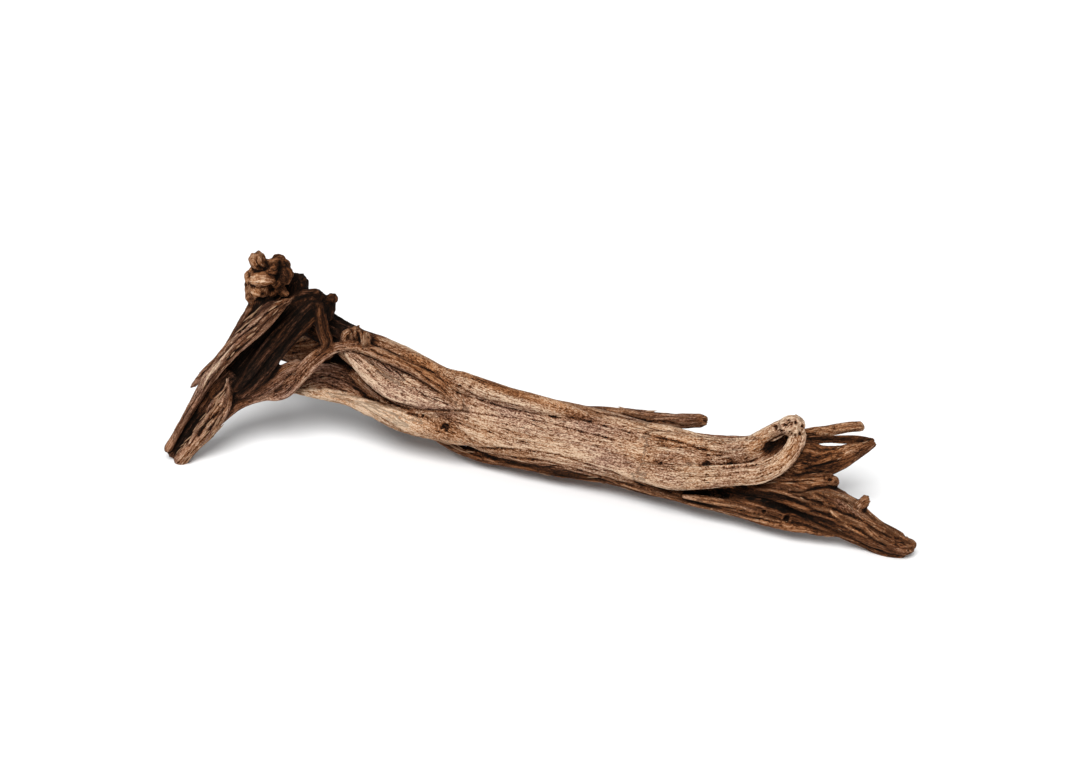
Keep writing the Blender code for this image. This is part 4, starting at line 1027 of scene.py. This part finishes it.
def limb_field(points, limbs, styles, full=True):
    """For each point, the relief, tone, warmth, melt and torn ends of the limbs whose walls it lies on,
    blended where they meet, and the grain's own coordinates (along, across, through) in the nearest limb."""
    count = len(points)
    weight = np.full(count, 1e-9)
    sums = np.zeros((count, 7))
    strongest = np.zeros(count)
    grain = np.zeros((count, 3))
    for number, (name, limb) in enumerate(limbs.items()):
        low, high = limb.box()
        near = np.flatnonzero(((points > low) & (points < high)).all(axis=1))
        along, across, through, gap, ahead = limb.read(points[near])
        keep = np.abs(gap) < NEAR
        near, along, across, through, gap, ahead = (
            each[keep] for each in (near, along, across, through, gap, ahead)
        )
        if not len(near):
            continue
        style, seed, from_start = styles[name], GRAIN_SEED + GRAIN_SEEDS * number, along
        share = np.exp(-np.abs(gap) / SOFT) * smooth_step(0, FADE_IN.get(name, 0.1), from_start + 0.1)
        row = np.zeros((len(near), 7))
        row[:, 1:4] = style["tone"], style["warmth"], style["melt"]
        if full:
            row[:, 4:] = style["ragged"] * torn_ends(limb, along, across, through, ahead, seed)
            if name in GRAIN_OF_CORE:
                along, across, through = limbs["core"].read(points[near])[:3]
                seed = GRAIN_SEED
            row[:, 0] = grain_relief(along, across, through, style, seed)
        weight[near] += share
        sums[near] += share[:, None] * row
        fibres = noise(np.column_stack([along / 20.0, across / 1.6, through / 1.6]), SHARE_SEED + number)
        share *= 1 + 0.6 * fibres
        first = share > strongest[near]
        strongest[near[first]] = share[first]
        start = 0 if name in GRAIN_OF_CORE else 90.0 * number
        grain[near[first]] = np.column_stack([along + start, across, through])[first]
    return sums / weight[:, None], grain


def smooth_line(corners):
    """The smooth curve through the corners, with a point about every millimetre."""
    corners = np.array(corners, float)
    at = run_of(corners)
    return curve_at(corners, at, np.linspace(0, at[-1], max(3, round(at[-1]))))


def fold_relief(spots, facing):
    """(height, shade) of the named folds at spots on the board. A groove's depth falls off from its line
    as a bell, a step rises on one side of its line and dies away, and each comes and goes along its line
    by a noise and fades to nothing at both ends."""
    height = np.zeros(len(spots))
    shade = np.zeros(len(spots))
    for number, (kind, width, depth, dark, corners) in enumerate(FOLDS.values()):
        line = smooth_line(corners)
        reach = 5 * width
        near = (spots > line.min(axis=0) - reach).all(axis=1) & (spots < line.max(axis=0) + reach).all(axis=1)
        near = np.flatnonzero(near & (facing > 0))
        apart = spots[near][:, None, :] - line[None, :, :]
        i = (apart**2).sum(axis=2).argmin(axis=1)
        offset = apart[np.arange(len(near)), i]
        tangent = unit(np.gradient(line, axis=0))[i]
        aside = tangent[:, 0] * offset[:, 1] - tangent[:, 1] * offset[:, 0]
        distance = np.linalg.norm(offset, axis=1)
        if width < 2:
            wander = noise(np.column_stack([i / 6.0, i / 19.0, np.zeros(len(i))]), FOLD_SEED + number)
            aside = aside + 0.5 * wander
        comes = noise(np.column_stack([i / 9.0, i * 0.0, i * 0.0]) + 3.3, FOLD_FADE_SEED + number)
        ends = smooth_step(0, 0.18, np.minimum(i, len(line) - 1 - i) / len(line) + 0.03)
        strength = np.clip(0.75 + 0.6 * comes, 0.1, 1) * ends * facing[near]
        past = np.maximum(distance, np.abs(aside))
        if kind == "groove":
            height[near] -= depth * np.exp(-((past / width) ** 2)) * strength
            shade[near] = np.maximum(shade[near], dark * np.exp(-((past / width / 0.8) ** 2)) * strength)
        else:
            lifted = np.where(aside > 0, np.exp(-aside / width), -0.6 * np.exp(aside / width * 1.5))
            height[near] += depth * lifted * strength * (distance < reach)
            narrowing = np.where(aside < 0, 1.6, 5)
            below = np.exp(-((distance / width * narrowing) ** 2))
            shade[near] = np.maximum(shade[near], dark * below * strength)
    return height, shade


def hole_relief(spots, facing):
    """(height, shade) of the named holes: an uneven oval pit with a raised rim, and a stain that fades
    round it."""
    height = np.zeros(len(spots))
    shade = np.zeros(len(spots))
    uneven = 0.35 * noise(np.column_stack([spots / 2.2, np.zeros(len(spots))]), HOLE_SEED)
    for across, up, wide, high, depth, stain in HOLES.values():
        share = np.hypot((spots[:, 0] - across) / wide, (spots[:, 1] - up) / high) + uneven
        pit = 1 - smooth_step(0.35, 1.1, share)
        rim = np.exp(-(((share - 1.3) / 0.35) ** 2))
        height += (0.25 * min(depth, 1) * rim - depth * pit) * facing
        halo = 0.55 * np.exp(-np.maximum(share - 1, 0) * min(wide, high) / stain)
        shade = np.maximum(shade, np.maximum(0.8 * pit, halo) * facing)
    return height, shade


def stain_and_painted_light_change(spots, facing):
    """(tone, warmth) that the named stains, patches of painted shade and painted highlights add: each is a
    bell along a sloping line.
    """
    change = np.zeros((len(spots), 2))
    for across, up, long, wide, slope, tone, warmth in STAINS_AND_PAINTED_LIGHT.values():
        x, y = spots[:, 0] - across, spots[:, 1] - up
        turn = math.atan(slope)
        run = x * math.cos(turn) + y * math.sin(turn)
        off = y * math.cos(turn) - x * math.sin(turn)
        bell = np.exp(-((run / long) ** 2) - (off / wide) ** 2) * facing
        change += bell[:, None] * np.array([tone, warmth])
    return change


def set_attribute(mesh, name, values):
    """Stores a number or a vector for each point of the mesh under that name."""
    kind, field = ("FLOAT", "value") if values.ndim == 1 else ("FLOAT_VECTOR", "vector")
    attribute = mesh.attributes.new(name, kind, "POINT")
    attribute.data.foreach_set(field, np.ascontiguousarray(values, np.float32).ravel())


def largest_body(points, edges, faces):
    """The points and faces of the largest body alone. The others are the walls of shut-in pockets. Each
    point takes the lowest number among its neighbours until none changes, and one number is left for each
    body."""
    body = np.arange(len(points))
    while True:
        lower = body.copy()
        np.minimum.at(lower, edges[:, 0], body[edges[:, 1]])
        np.minimum.at(lower, edges[:, 1], body[edges[:, 0]])
        lower = lower[lower]
        if (lower == body).all():
            break
        body = lower
    kept = body == np.argmax(np.bincount(body))
    new_number = np.cumsum(kept) - 1
    return points[kept], new_number[faces[kept[faces[:, 0]]]]


def edges_of(faces, count):
    """Each edge of the faces once: the pairs of neighbouring corners, sorted and told apart by one whole
    number."""
    pairs = np.sort(np.vstack([faces[:, [k, (k + 1) % 4]] for k in range(4)]), axis=1).astype(np.int64)
    keys = np.unique(pairs[:, 0] * count + pairs[:, 1])
    return np.column_stack([keys // count, keys % count])


def fused_limbs(limbs, cell):
    """One surface round every limb, as points and faces: their skins overlap, and a remesh on a grid of
    that cell fuses them."""
    points, faces, start = [], [], 0
    for limb in limbs.values():
        new_points, new_faces = limb.skin(SIDES if limb.width.max() > 4 else THIN_SIDES)
        points.append(new_points)
        faces += [[start + corner for corner in face] for face in new_faces]
        start += len(new_points)
    mesh = bpy.data.meshes.new("limbs")
    mesh.from_pydata(((np.vstack(points) - REST) * MM).tolist(), [], faces)
    mesh.update()
    piece = bpy.data.objects.new("limbs", mesh)
    bpy.context.scene.collection.objects.link(piece)
    fuse = piece.modifiers.new("fuse", "REMESH")
    fuse.mode = "VOXEL"
    fuse.voxel_size = cell
    graph = bpy.context.evaluated_depsgraph_get()
    fused = bpy.data.meshes.new_from_object(piece.evaluated_get(graph))
    points, faces = largest_body(*mesh_arrays(fused))
    bpy.data.objects.remove(piece)
    return points, faces


def weathered(limbs, styles, form):
    """The fused limbs with their creases filled and the relief raised, as points, faces and the
    attributes of each point: grain, tone, warmth, the painted shade and dirt of creases and hollows, and
    the painted highlight of ridges."""
    points, faces = fused_limbs(limbs, form.cell)
    edges = edges_of(faces, len(points))
    melt = relaxed(limb_field(points, limbs, styles, full=False)[0][:, 3:4], edges, SHARE_PASSES)
    points = relaxed(points, edges, 1)
    points = filled(points, edges, faces, 0.8 * smooth_step(0.2, 0.9, melt[:, 0]), FILL_PASSES)
    points += melt * (melted(points, edges, MELT_PASSES) - points)
    normals = unit(relaxed(point_normals(points, faces), edges, NORMAL_PASSES))
    field, grain = limb_field(points, limbs, styles)
    field = relaxed(field, edges, 1)
    spots = on_board(points)
    facing = smooth_step(0.05, 0.35, normals @ TO_VIEWER)
    fold_height, fold_shade = fold_relief(spots, facing)
    hole_height, hole_shade = hole_relief(spots, facing)
    off_floor = smooth_step(0.0, FLOOR_FADE, points[:, 2] - REST[2])[:, None]
    height = (field[:, 0] * form.relief + fold_height + hole_height)[:, None]
    raised = points + off_floor * (height * normals + field[:, 4:7])
    raised[:, 2] = np.maximum(raised[:, 2], REST[2])
    mean = relaxed(raised, edges, FINE_PASSES)
    fine = ((mean - raised) * normals).sum(axis=1)
    wide = ((relaxed(mean, edges, WIDE_PASSES, 0.9) - mean) * normals).sum(axis=1)
    # Painted shade, with the dirt that settles in it, where the surface lies below the mean of its
    # neighbours: in small creases and in wide hollows.
    crease_shade_and_dirt = smooth_step(0.0, 0.35, fine) + smooth_step(0.15, 1.5, wide)
    # Stains, painted shade and painted highlights change the tone and warmth.
    tone = field[:, 1:3] + stain_and_painted_light_change(spots, facing)
    # The painted shade of the folds and holes joins this crease shade, and raised ridges get a painted
    # highlight.
    return raised, faces, {
        "grain": grain,
        "tone": tone[:, 0],
        "warmth": tone[:, 1],
        "crease_shade_and_dirt": np.clip(np.maximum(crease_shade_and_dirt, np.maximum(fold_shade, hole_shade)), 0, 1.2),
        # Painted highlight on ridges that stand above their neighbours.
        "ridge_highlight": smooth_step(0.0, 0.35, -fine),
    }


def rooted(piece, material):
    """The piece in its material, riding on the wood's one body and standing for its solid."""
    piece.data.materials.append(material)
    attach(piece, "root")
    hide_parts("driftwood")


def part_of(name, points, faces, normals, attributes, wanted):
    """A piece of the surface: its wanted faces, with the normals and attributes of the whole. Where it
    meets the next piece, an edge that belongs to one face only, its rim turns into the wood, against the
    normal, and is closed."""
    faces = faces[wanted]
    used = np.unique(faces)
    place = np.zeros(len(points), np.int64)
    place[used] = np.arange(len(used))
    faces = place[faces]
    sides = np.vstack([faces[:, [k, (k + 1) % 4]] for k in range(4)])
    keys = np.sort(sides, axis=1) @ [len(used), 1]
    _, first, times = np.unique(keys, return_index=True, return_counts=True)
    rim = sides[first[times == 1]]
    ring = np.unique(rim)
    sunk = np.zeros(len(used), np.int64)
    sunk[ring] = len(used) + np.arange(len(ring))
    walls = np.column_stack([rim[:, 1], rim[:, 0], sunk[rim[:, 0]], sunk[rim[:, 1]]])
    source = np.concatenate([used, used[ring]])
    spots = points[source]
    spots[len(used) :] -= SEAM_DEPTH * normals[used[ring]]
    mesh = bpy.data.meshes.new(name)
    mesh.from_pydata(((spots - REST) * MM).tolist(), [], np.vstack([faces, walls]).tolist())
    for key, values in attributes.items():
        set_attribute(mesh, key, values[source])
    shell = bmesh.new()
    shell.from_mesh(mesh)
    bmesh.ops.holes_fill(shell, edges=[edge for edge in shell.edges if edge.is_boundary], sides=0)
    shell.to_mesh(mesh)
    shell.free()
    mesh.shade_smooth()
    mesh.normals_split_custom_set_from_vertices(normals[source].tolist())
    piece = bpy.data.objects.new(name, mesh)
    bpy.context.scene.collection.objects.link(piece)
    return piece


class NodeTree:
    """A material's nodes, made and linked by name."""

    def __init__(self, material):
        material.use_nodes = True
        self.tree = material.node_tree
        self.shader = self.tree.nodes["Principled BSDF"]

    def put(self, value, socket):
        """Links an output into the socket, or sets a plain value there."""
        if isinstance(value, bpy.types.NodeSocket):
            self.tree.links.new(value, socket)
        else:
            socket.default_value = value

    def attribute(self, name, output="Fac"):
        """What the surface stores under that name."""
        node = self.tree.nodes.new("ShaderNodeAttribute")
        node.attribute_name = name
        return node.outputs[output]

    def math(self, operation, a, b=0.0, clamp=False):
        """The operation on one value or two."""
        node = self.tree.nodes.new("ShaderNodeMath")
        node.operation = operation
        node.use_clamp = clamp
        for value, socket in zip((a, b), node.inputs):
            self.put(value, socket)
        return node.outputs["Value"]

    def add(self, *terms):
        """The sum of the terms."""
        total = terms[0]
        for term in terms[1:]:
            total = self.math("ADD", total, term)
        return total

    def spread(self, value, low, high, to_low=0.0, to_high=1.0):
        """The value moved from the range low to high into the range to_low to to_high, and held inside it."""
        node = self.tree.nodes.new("ShaderNodeMapRange")
        for socket, entry in zip(node.inputs, (value, low, high, to_low, to_high)):
            self.put(entry, socket)
        return node.outputs["Result"]

    def swing(self, value, most):
        """A noise, which keeps near a half, as a change of up to that much either way."""
        return self.spread(value, 0.25, 0.75, -most, most)

    def line(self, value, width):
        """1 where the value is a half, and 0 where it is further from it than the width."""
        away = self.math("ABSOLUTE", self.math("SUBTRACT", value, 0.5))
        return self.spread(away, 0.0, width, 1.0, 0.0)

    def stretched(self, vector, scale):
        """The vector times the scale of each axis."""
        node = self.tree.nodes.new("ShaderNodeMapping")
        self.put(vector, node.inputs["Vector"])
        node.inputs["Scale"].default_value = scale
        return node.outputs["Vector"]

    def noise(self, vector, scale, detail, roughness):
        """A noise from 0 to 1 whose lumps are one over the scale long along each axis."""
        node = self.tree.nodes.new("ShaderNodeTexNoise")
        self.put(self.stretched(vector, scale), node.inputs["Vector"])
        node.inputs["Scale"].default_value = 1.0
        node.inputs["Detail"].default_value = detail
        node.inputs["Roughness"].default_value = roughness
        node.inputs["Distortion"].default_value = 0.0
        return node.outputs["Fac"]

    def ramp(self, value, stops):
        """The colour at the value, between stops of (place, colour)."""
        node = self.tree.nodes.new("ShaderNodeValToRGB")
        self.put(value, node.inputs["Fac"])
        elements = node.color_ramp.elements
        while len(elements) < len(stops):
            elements.new(1.0)
        for element, (place, colour) in zip(elements, stops):
            element.position = place
            element.color = (*colour, 1.0)
        return node.outputs["Color"]

    def mix(self, share, first, second):
        """The first colour turned into the second by that share."""
        node = self.tree.nodes.new("ShaderNodeMix")
        node.data_type = "RGBA"
        sockets = [socket for socket in node.inputs if socket.enabled]
        for value, socket in zip((share, first, second), sockets):
            self.put(value, socket)
        return next(socket for socket in node.outputs if socket.enabled)

    def bump(self, height, strength, distance):
        """The normal tilted by the slopes of the height, where a height of 1 is that distance in metres."""
        node = self.tree.nodes.new("ShaderNodeBump")
        self.put(height, node.inputs["Height"])
        node.inputs["Strength"].default_value = strength
        node.inputs["Distance"].default_value = distance
        return node.outputs["Normal"]


def weathered_wood(finish):
    """Dry grey-brown wood. Streaks and pores are noise on the grain's own coordinates, stretched along
    it. They are added to the surface's tone, and three ramps of colour, cool, warm and golden, are mixed
    by its warmth."""
    material = bpy.data.materials.new("weathered_wood")
    tree = NodeTree(material)
    grain = tree.attribute("grain", "Vector")
    tone, warmth = tree.attribute("tone"), tree.attribute("warmth")
    # Painted crease shade with dirt, and the painted highlight of raised ridges.
    crease_shade_and_dirt, ridge_highlight = tree.attribute("crease_shade_and_dirt"), tree.attribute("ridge_highlight")
    broad = tree.noise(grain, (0.012, 0.16, 0.16), 2, 0.5)
    streak = tree.noise(grain, (0.04, 1.0, 1.0), 3, 0.6)
    fine = tree.noise(grain, (0.14, 2.4, 2.4), 2, 0.6)
    speckle = tree.noise(grain, (0.7, 1.6, 1.6), 3, 0.8)
    patch = tree.noise(grain, (0.03, 0.07, 0.07), 2, 0.5)
    pores = tree.spread(tree.noise(grain, (0.30, 1.3, 1.3), 1, 0.5), 0.34, 0.42, 1.0, 0.0)
    crack = tree.line(tree.noise(grain, (0.012, 0.30, 0.30), 2, 0.6), 0.012)
    some = tree.spread(tree.noise(grain, (0.03, 0.12, 0.12), 1, 0.5), 0.48, 0.58)
    crack = tree.math("MULTIPLY", crack, some)
    grit = tree.noise(grain, (0.9, 2.2, 2.2), 1, 0.5)
    spots = tree.add(tree.swing(speckle, 0.28), tree.swing(grit, 0.28))
    dryness = tree.spread(tone, 0.30, 0.62, 0.35, 1.0)
    change = tree.add(
        tree.swing(broad, 0.12),
        tree.swing(streak, 0.17),
        tree.swing(fine, 0.22),
        tree.math("MULTIPLY", spots, dryness),
        tree.swing(patch, 0.10),
        tree.spread(pores, 0.0, 1.0, 0.0, -0.22),
        tree.spread(crack, 0.0, 1.0, 0.0, -0.40),
        # Painted highlight on raised ridges.
        tree.spread(ridge_highlight, 0.0, 1.0, 0.0, 0.20),
    )
    value = tree.add(
        tone,
        tree.math("MULTIPLY", change, tree.spread(tone, 0.0, 0.7, 0.75, 1.05)),
        # Painted shade and dirt in creases and hollows darken the wood.
        tree.math("MULTIPLY", tree.math("MULTIPLY", crease_shade_and_dirt, tone), -0.85),
    )
    places = (0.0, 0.2, 0.42, 0.66, 0.95)

    def ramp_over(deep, middle, light):
        """The colour at the value, from the pits over these three to the palest fibres."""
        return tree.ramp(value, list(zip(places, (finish.pit, deep, middle, light, finish.pale))))

    cool = ramp_over(finish.dark, finish.cool, finish.grey)
    warm = ramp_over(finish.umber, finish.warm, finish.tan)
    hue = tree.add(
        warmth,
        tree.spread(patch, 0.3, 0.7, -0.50, 0.50),
        tree.spread(streak, 0.3, 0.7, 0.2, -0.2),
        tree.spread(value, 0.30, 0.62, 0.30, 0.0),
    )
    golden = ramp_over(finish.umber, finish.amber, finish.gold)
    wood = tree.mix(tree.math("ADD", hue, 0.0, clamp=True), cool, warm)
    wood = tree.mix(tree.spread(hue, 1.0, 2.0, 0.0, 1.0), wood, golden)
    tree.put(wood, tree.shader.inputs["Base Color"])
    height = tree.add(
        tree.math("MULTIPLY", streak, 0.5),
        tree.math("MULTIPLY", fine, 0.5),
        tree.math("MULTIPLY", speckle, 0.8),
        tree.math("MULTIPLY", pores, -0.4),
        tree.math("MULTIPLY", crack, -0.6),
    )
    tree.put(tree.bump(height, 1.0, 0.0009), tree.shader.inputs["Normal"])
    tree.shader.inputs["Roughness"].default_value = 0.85
    tree.shader.inputs["Specular IOR Level"].default_value = 0.06
    return material


def length_setting(name, description, default):
    """A length in metres that the panel shows."""
    return bpy.props.FloatProperty(
        name=name, description=description, default=default, unit="LENGTH", precision=5
    )


def colour_setting(name, description, default):
    """A colour that the panel shows."""
    return bpy.props.FloatVectorProperty(
        name=name, description=description, default=default, subtype="COLOR", size=3, min=0, max=1
    )


def number_setting(name, description, default):
    """A plain number that the panel shows."""
    return bpy.props.FloatProperty(name=name, description=description, default=default)


class DRIFTWOOD_PG_form(bpy.types.PropertyGroup):
    """The shape of the wood."""

    cell: length_setting("Cell", "Side of the grid on which the limbs are fused", 0.0008)
    relief: number_setting("Relief", "How strongly the grain stands out, where 1 is dry weathered wood", 1.0)


class DRIFTWOOD_PG_finish(bpy.types.PropertyGroup):
    """The colours of the wood, from its deepest cracks to its palest fibres."""

    # Pit and dark are also the colours that painted shade in holes, creases and the head's hollows turns the
    # wood to.
    pit: colour_setting("Pit", "Inside cracks and holes", (0.004, 0.0025, 0.0015))
    dark: colour_setting("Dark", "Stained hollows", (0.025, 0.0122, 0.0072))
    umber: colour_setting("Umber", "Dark wood of the root and the knob", (0.031, 0.0108, 0.0045))
    cool: colour_setting("Cool brown", "Middle brown of the grey, sheltered sheets", (0.125, 0.059, 0.041))
    warm: colour_setting("Warm brown", "Middle brown of the root and the knob", (0.155, 0.056, 0.021))
    grey: colour_setting("Grey tan", "Light wood of the sheltered sheets", (0.35, 0.195, 0.137))
    amber: colour_setting("Amber", "Middle brown where the wood is golden", (0.20, 0.070, 0.024))
    gold: colour_setting("Gold", "Light wood where it is golden", (0.48, 0.228, 0.100))
    tan: colour_setting("Tan", "Light wood of the trunk", (0.40, 0.215, 0.118))
    pale: colour_setting("Pale", "The palest fibres", (0.68, 0.50, 0.35))


class DRIFTWOOD_PG_stage(bpy.types.PropertyGroup):
    """The floor, the lights and the camera."""

    floor: colour_setting("Floor", "The pale floor", (0.92, 0.92, 0.92))
    floor_side: length_setting("Floor side", "Length of the floor's side", 12.0)
    eye: length_setting("Eye", "Distance from the camera to the middle of the wood", EYE * MM)
    lens: number_setting("Lens", "Focal length of the camera in millimetres", 100.0)
    raised: length_setting("Raised", "How far up the picture's middle is from the wood's", 0.0702)
    key: number_setting("Key", "Strength of the main light", 3.4)
    key_from: bpy.props.FloatVectorProperty(
        name="Key from",
        description="Where the main light comes from",
        default=(-0.14, -0.72, 1.0),
        subtype="XYZ",
    )
    softness: bpy.props.FloatProperty(
        name="Softness", description="Angle that the main light fills", default=0.6, unit="ROTATION"
    )
    sky: number_setting("Sky", "Strength of the light from all round", 0.4)


class DRIFTWOOD_OT_wood(bpy.types.Operator):
    """Fuse the limbs, raise the grain and give the wood its colours"""

    bl_idname = "driftwood.wood"
    bl_label = "Wood"

    def execute(self, context):
        form, finish = context.scene.driftwood_form, context.scene.driftwood_finish
        limbs, styles = grown_limbs()
        points, faces, attributes = weathered(limbs, styles, form)
        normals = point_normals(points, faces)
        region = np.searchsorted(CUTS, points[faces].mean(axis=1)[:, 0])
        wood = weathered_wood(finish)
        for number, name in enumerate(PIECES):
            rooted(part_of(name, points, faces, normals, attributes, region == number), wood)
        return {"FINISHED"}


class DRIFTWOOD_OT_splinters(bpy.types.Operator):
    """Raise fine fibres from the torn and weathered limbs"""

    bl_idname = "driftwood.splinters"
    bl_label = "Splinters"

    def execute(self, context):
        points, faces, attributes = splinters(*grown_limbs())
        mesh = bpy.data.meshes.new("driftwood_splinters")
        mesh.from_pydata(((points - REST) * MM).tolist(), [], faces)
        mesh.shade_smooth()
        for key, values in attributes.items():
            set_attribute(mesh, key, values)
        piece = bpy.data.objects.new("driftwood_splinters", mesh)
        context.scene.collection.objects.link(piece)
        rooted(piece, bpy.data.materials["weathered_wood"])
        return {"FINISHED"}


def aim(place, target):
    """The rotation that turns a camera or a light at that place towards the target."""
    return (Vector(target) - Vector(place)).to_track_quat("-Z", "Y").to_euler()


class DRIFTWOOD_OT_stage(bpy.types.Operator):
    """Lay a pale floor, hang soft lights and set the camera at the viewing angle"""

    bl_idname = "driftwood.stage"
    bl_label = "Stage"

    def execute(self, context):
        stage = context.scene.driftwood_stage
        corner = np.array([(-1, -1, 0), (1, -1, 0), (1, 1, 0), (-1, 1, 0)]) * stage.floor_side / 2
        mesh = bpy.data.meshes.new("floor")
        mesh.from_pydata(corner.tolist(), [], [(0, 1, 2, 3)])
        floor = bpy.data.objects.new("floor", mesh)
        context.scene.collection.objects.link(floor)
        paint = bpy.data.materials.new("pale_floor")
        paint.use_nodes = True
        shader = paint.node_tree.nodes["Principled BSDF"]
        shader.inputs["Base Color"].default_value = (*stage.floor, 1.0)
        shader.inputs["Roughness"].default_value = 1.0
        shader.inputs["Specular IOR Level"].default_value = 0.0
        mesh.materials.append(paint)
        key = bpy.data.objects.new("key", bpy.data.lights.new("key", "SUN"))
        key.data.energy = stage.key
        key.data.angle = stage.softness
        key.rotation_euler = aim(stage.key_from, (0, 0, 0))
        context.scene.collection.objects.link(key)
        world = bpy.data.worlds.new("studio")
        world.use_nodes = True
        world.node_tree.nodes["Background"].inputs["Color"].default_value = (1.0, 1.0, 1.0, 1.0)
        world.node_tree.nodes["Background"].inputs["Strength"].default_value = stage.sky
        context.scene.world = world
        context.scene.view_settings.view_transform = "Standard"
        camera = bpy.data.objects.new("camera", bpy.data.cameras.new("camera"))
        camera.data.lens = stage.lens
        zero = -REST * MM
        camera.location = zero + stage.eye * TO_VIEWER
        up_board = np.array([0, math.sin(LEAN), math.cos(LEAN)])
        camera.rotation_euler = aim(camera.location, zero + stage.raised * up_board)
        context.scene.collection.objects.link(camera)
        context.scene.camera = camera
        return {"FINISHED"}


class DRIFTWOOD_PT_panel(bpy.types.Panel):
    """Lists the steps and their sizes and colours."""

    bl_idname = "DRIFTWOOD_PT_panel"
    bl_label = "Driftwood"
    bl_space_type = "VIEW_3D"
    bl_region_type = "UI"
    bl_category = "Driftwood"

    def draw(self, context):
        for group in GROUPS:
            settings = getattr(context.scene, group)
            for name in settings.bl_rna.properties.keys():
                if name not in ("rna_type", "name"):
                    self.layout.prop(settings, name)
        for operator in (DRIFTWOOD_OT_wood, DRIFTWOOD_OT_splinters, DRIFTWOOD_OT_stage):
            self.layout.operator(operator.bl_idname)


CLASSES = (
    DRIFTWOOD_PG_form,
    DRIFTWOOD_PG_finish,
    DRIFTWOOD_PG_stage,
    DRIFTWOOD_OT_wood,
    DRIFTWOOD_OT_splinters,
    DRIFTWOOD_OT_stage,
    DRIFTWOOD_PT_panel,
)
GROUPS = {
    "driftwood_form": DRIFTWOOD_PG_form,
    "driftwood_finish": DRIFTWOOD_PG_finish,
    "driftwood_stage": DRIFTWOOD_PG_stage,
}


def register():
    """Adds the classes, and each group of settings to the scene."""
    for kind in CLASSES:
        bpy.utils.register_class(kind)
    for name, group in GROUPS.items():
        setattr(bpy.types.Scene, name, bpy.props.PointerProperty(type=group))


def unregister():
    """Takes the settings and the classes away again."""
    for name in GROUPS:
        delattr(bpy.types.Scene, name)
    for kind in reversed(CLASSES):
        bpy.utils.unregister_class(kind)


def main():
    """Builds the wood and the stage."""
    register()
    bpy.ops.driftwood.wood()
    bpy.ops.driftwood.splinters()
    bpy.ops.driftwood.stage()


if __name__ == "__main__":
    main()
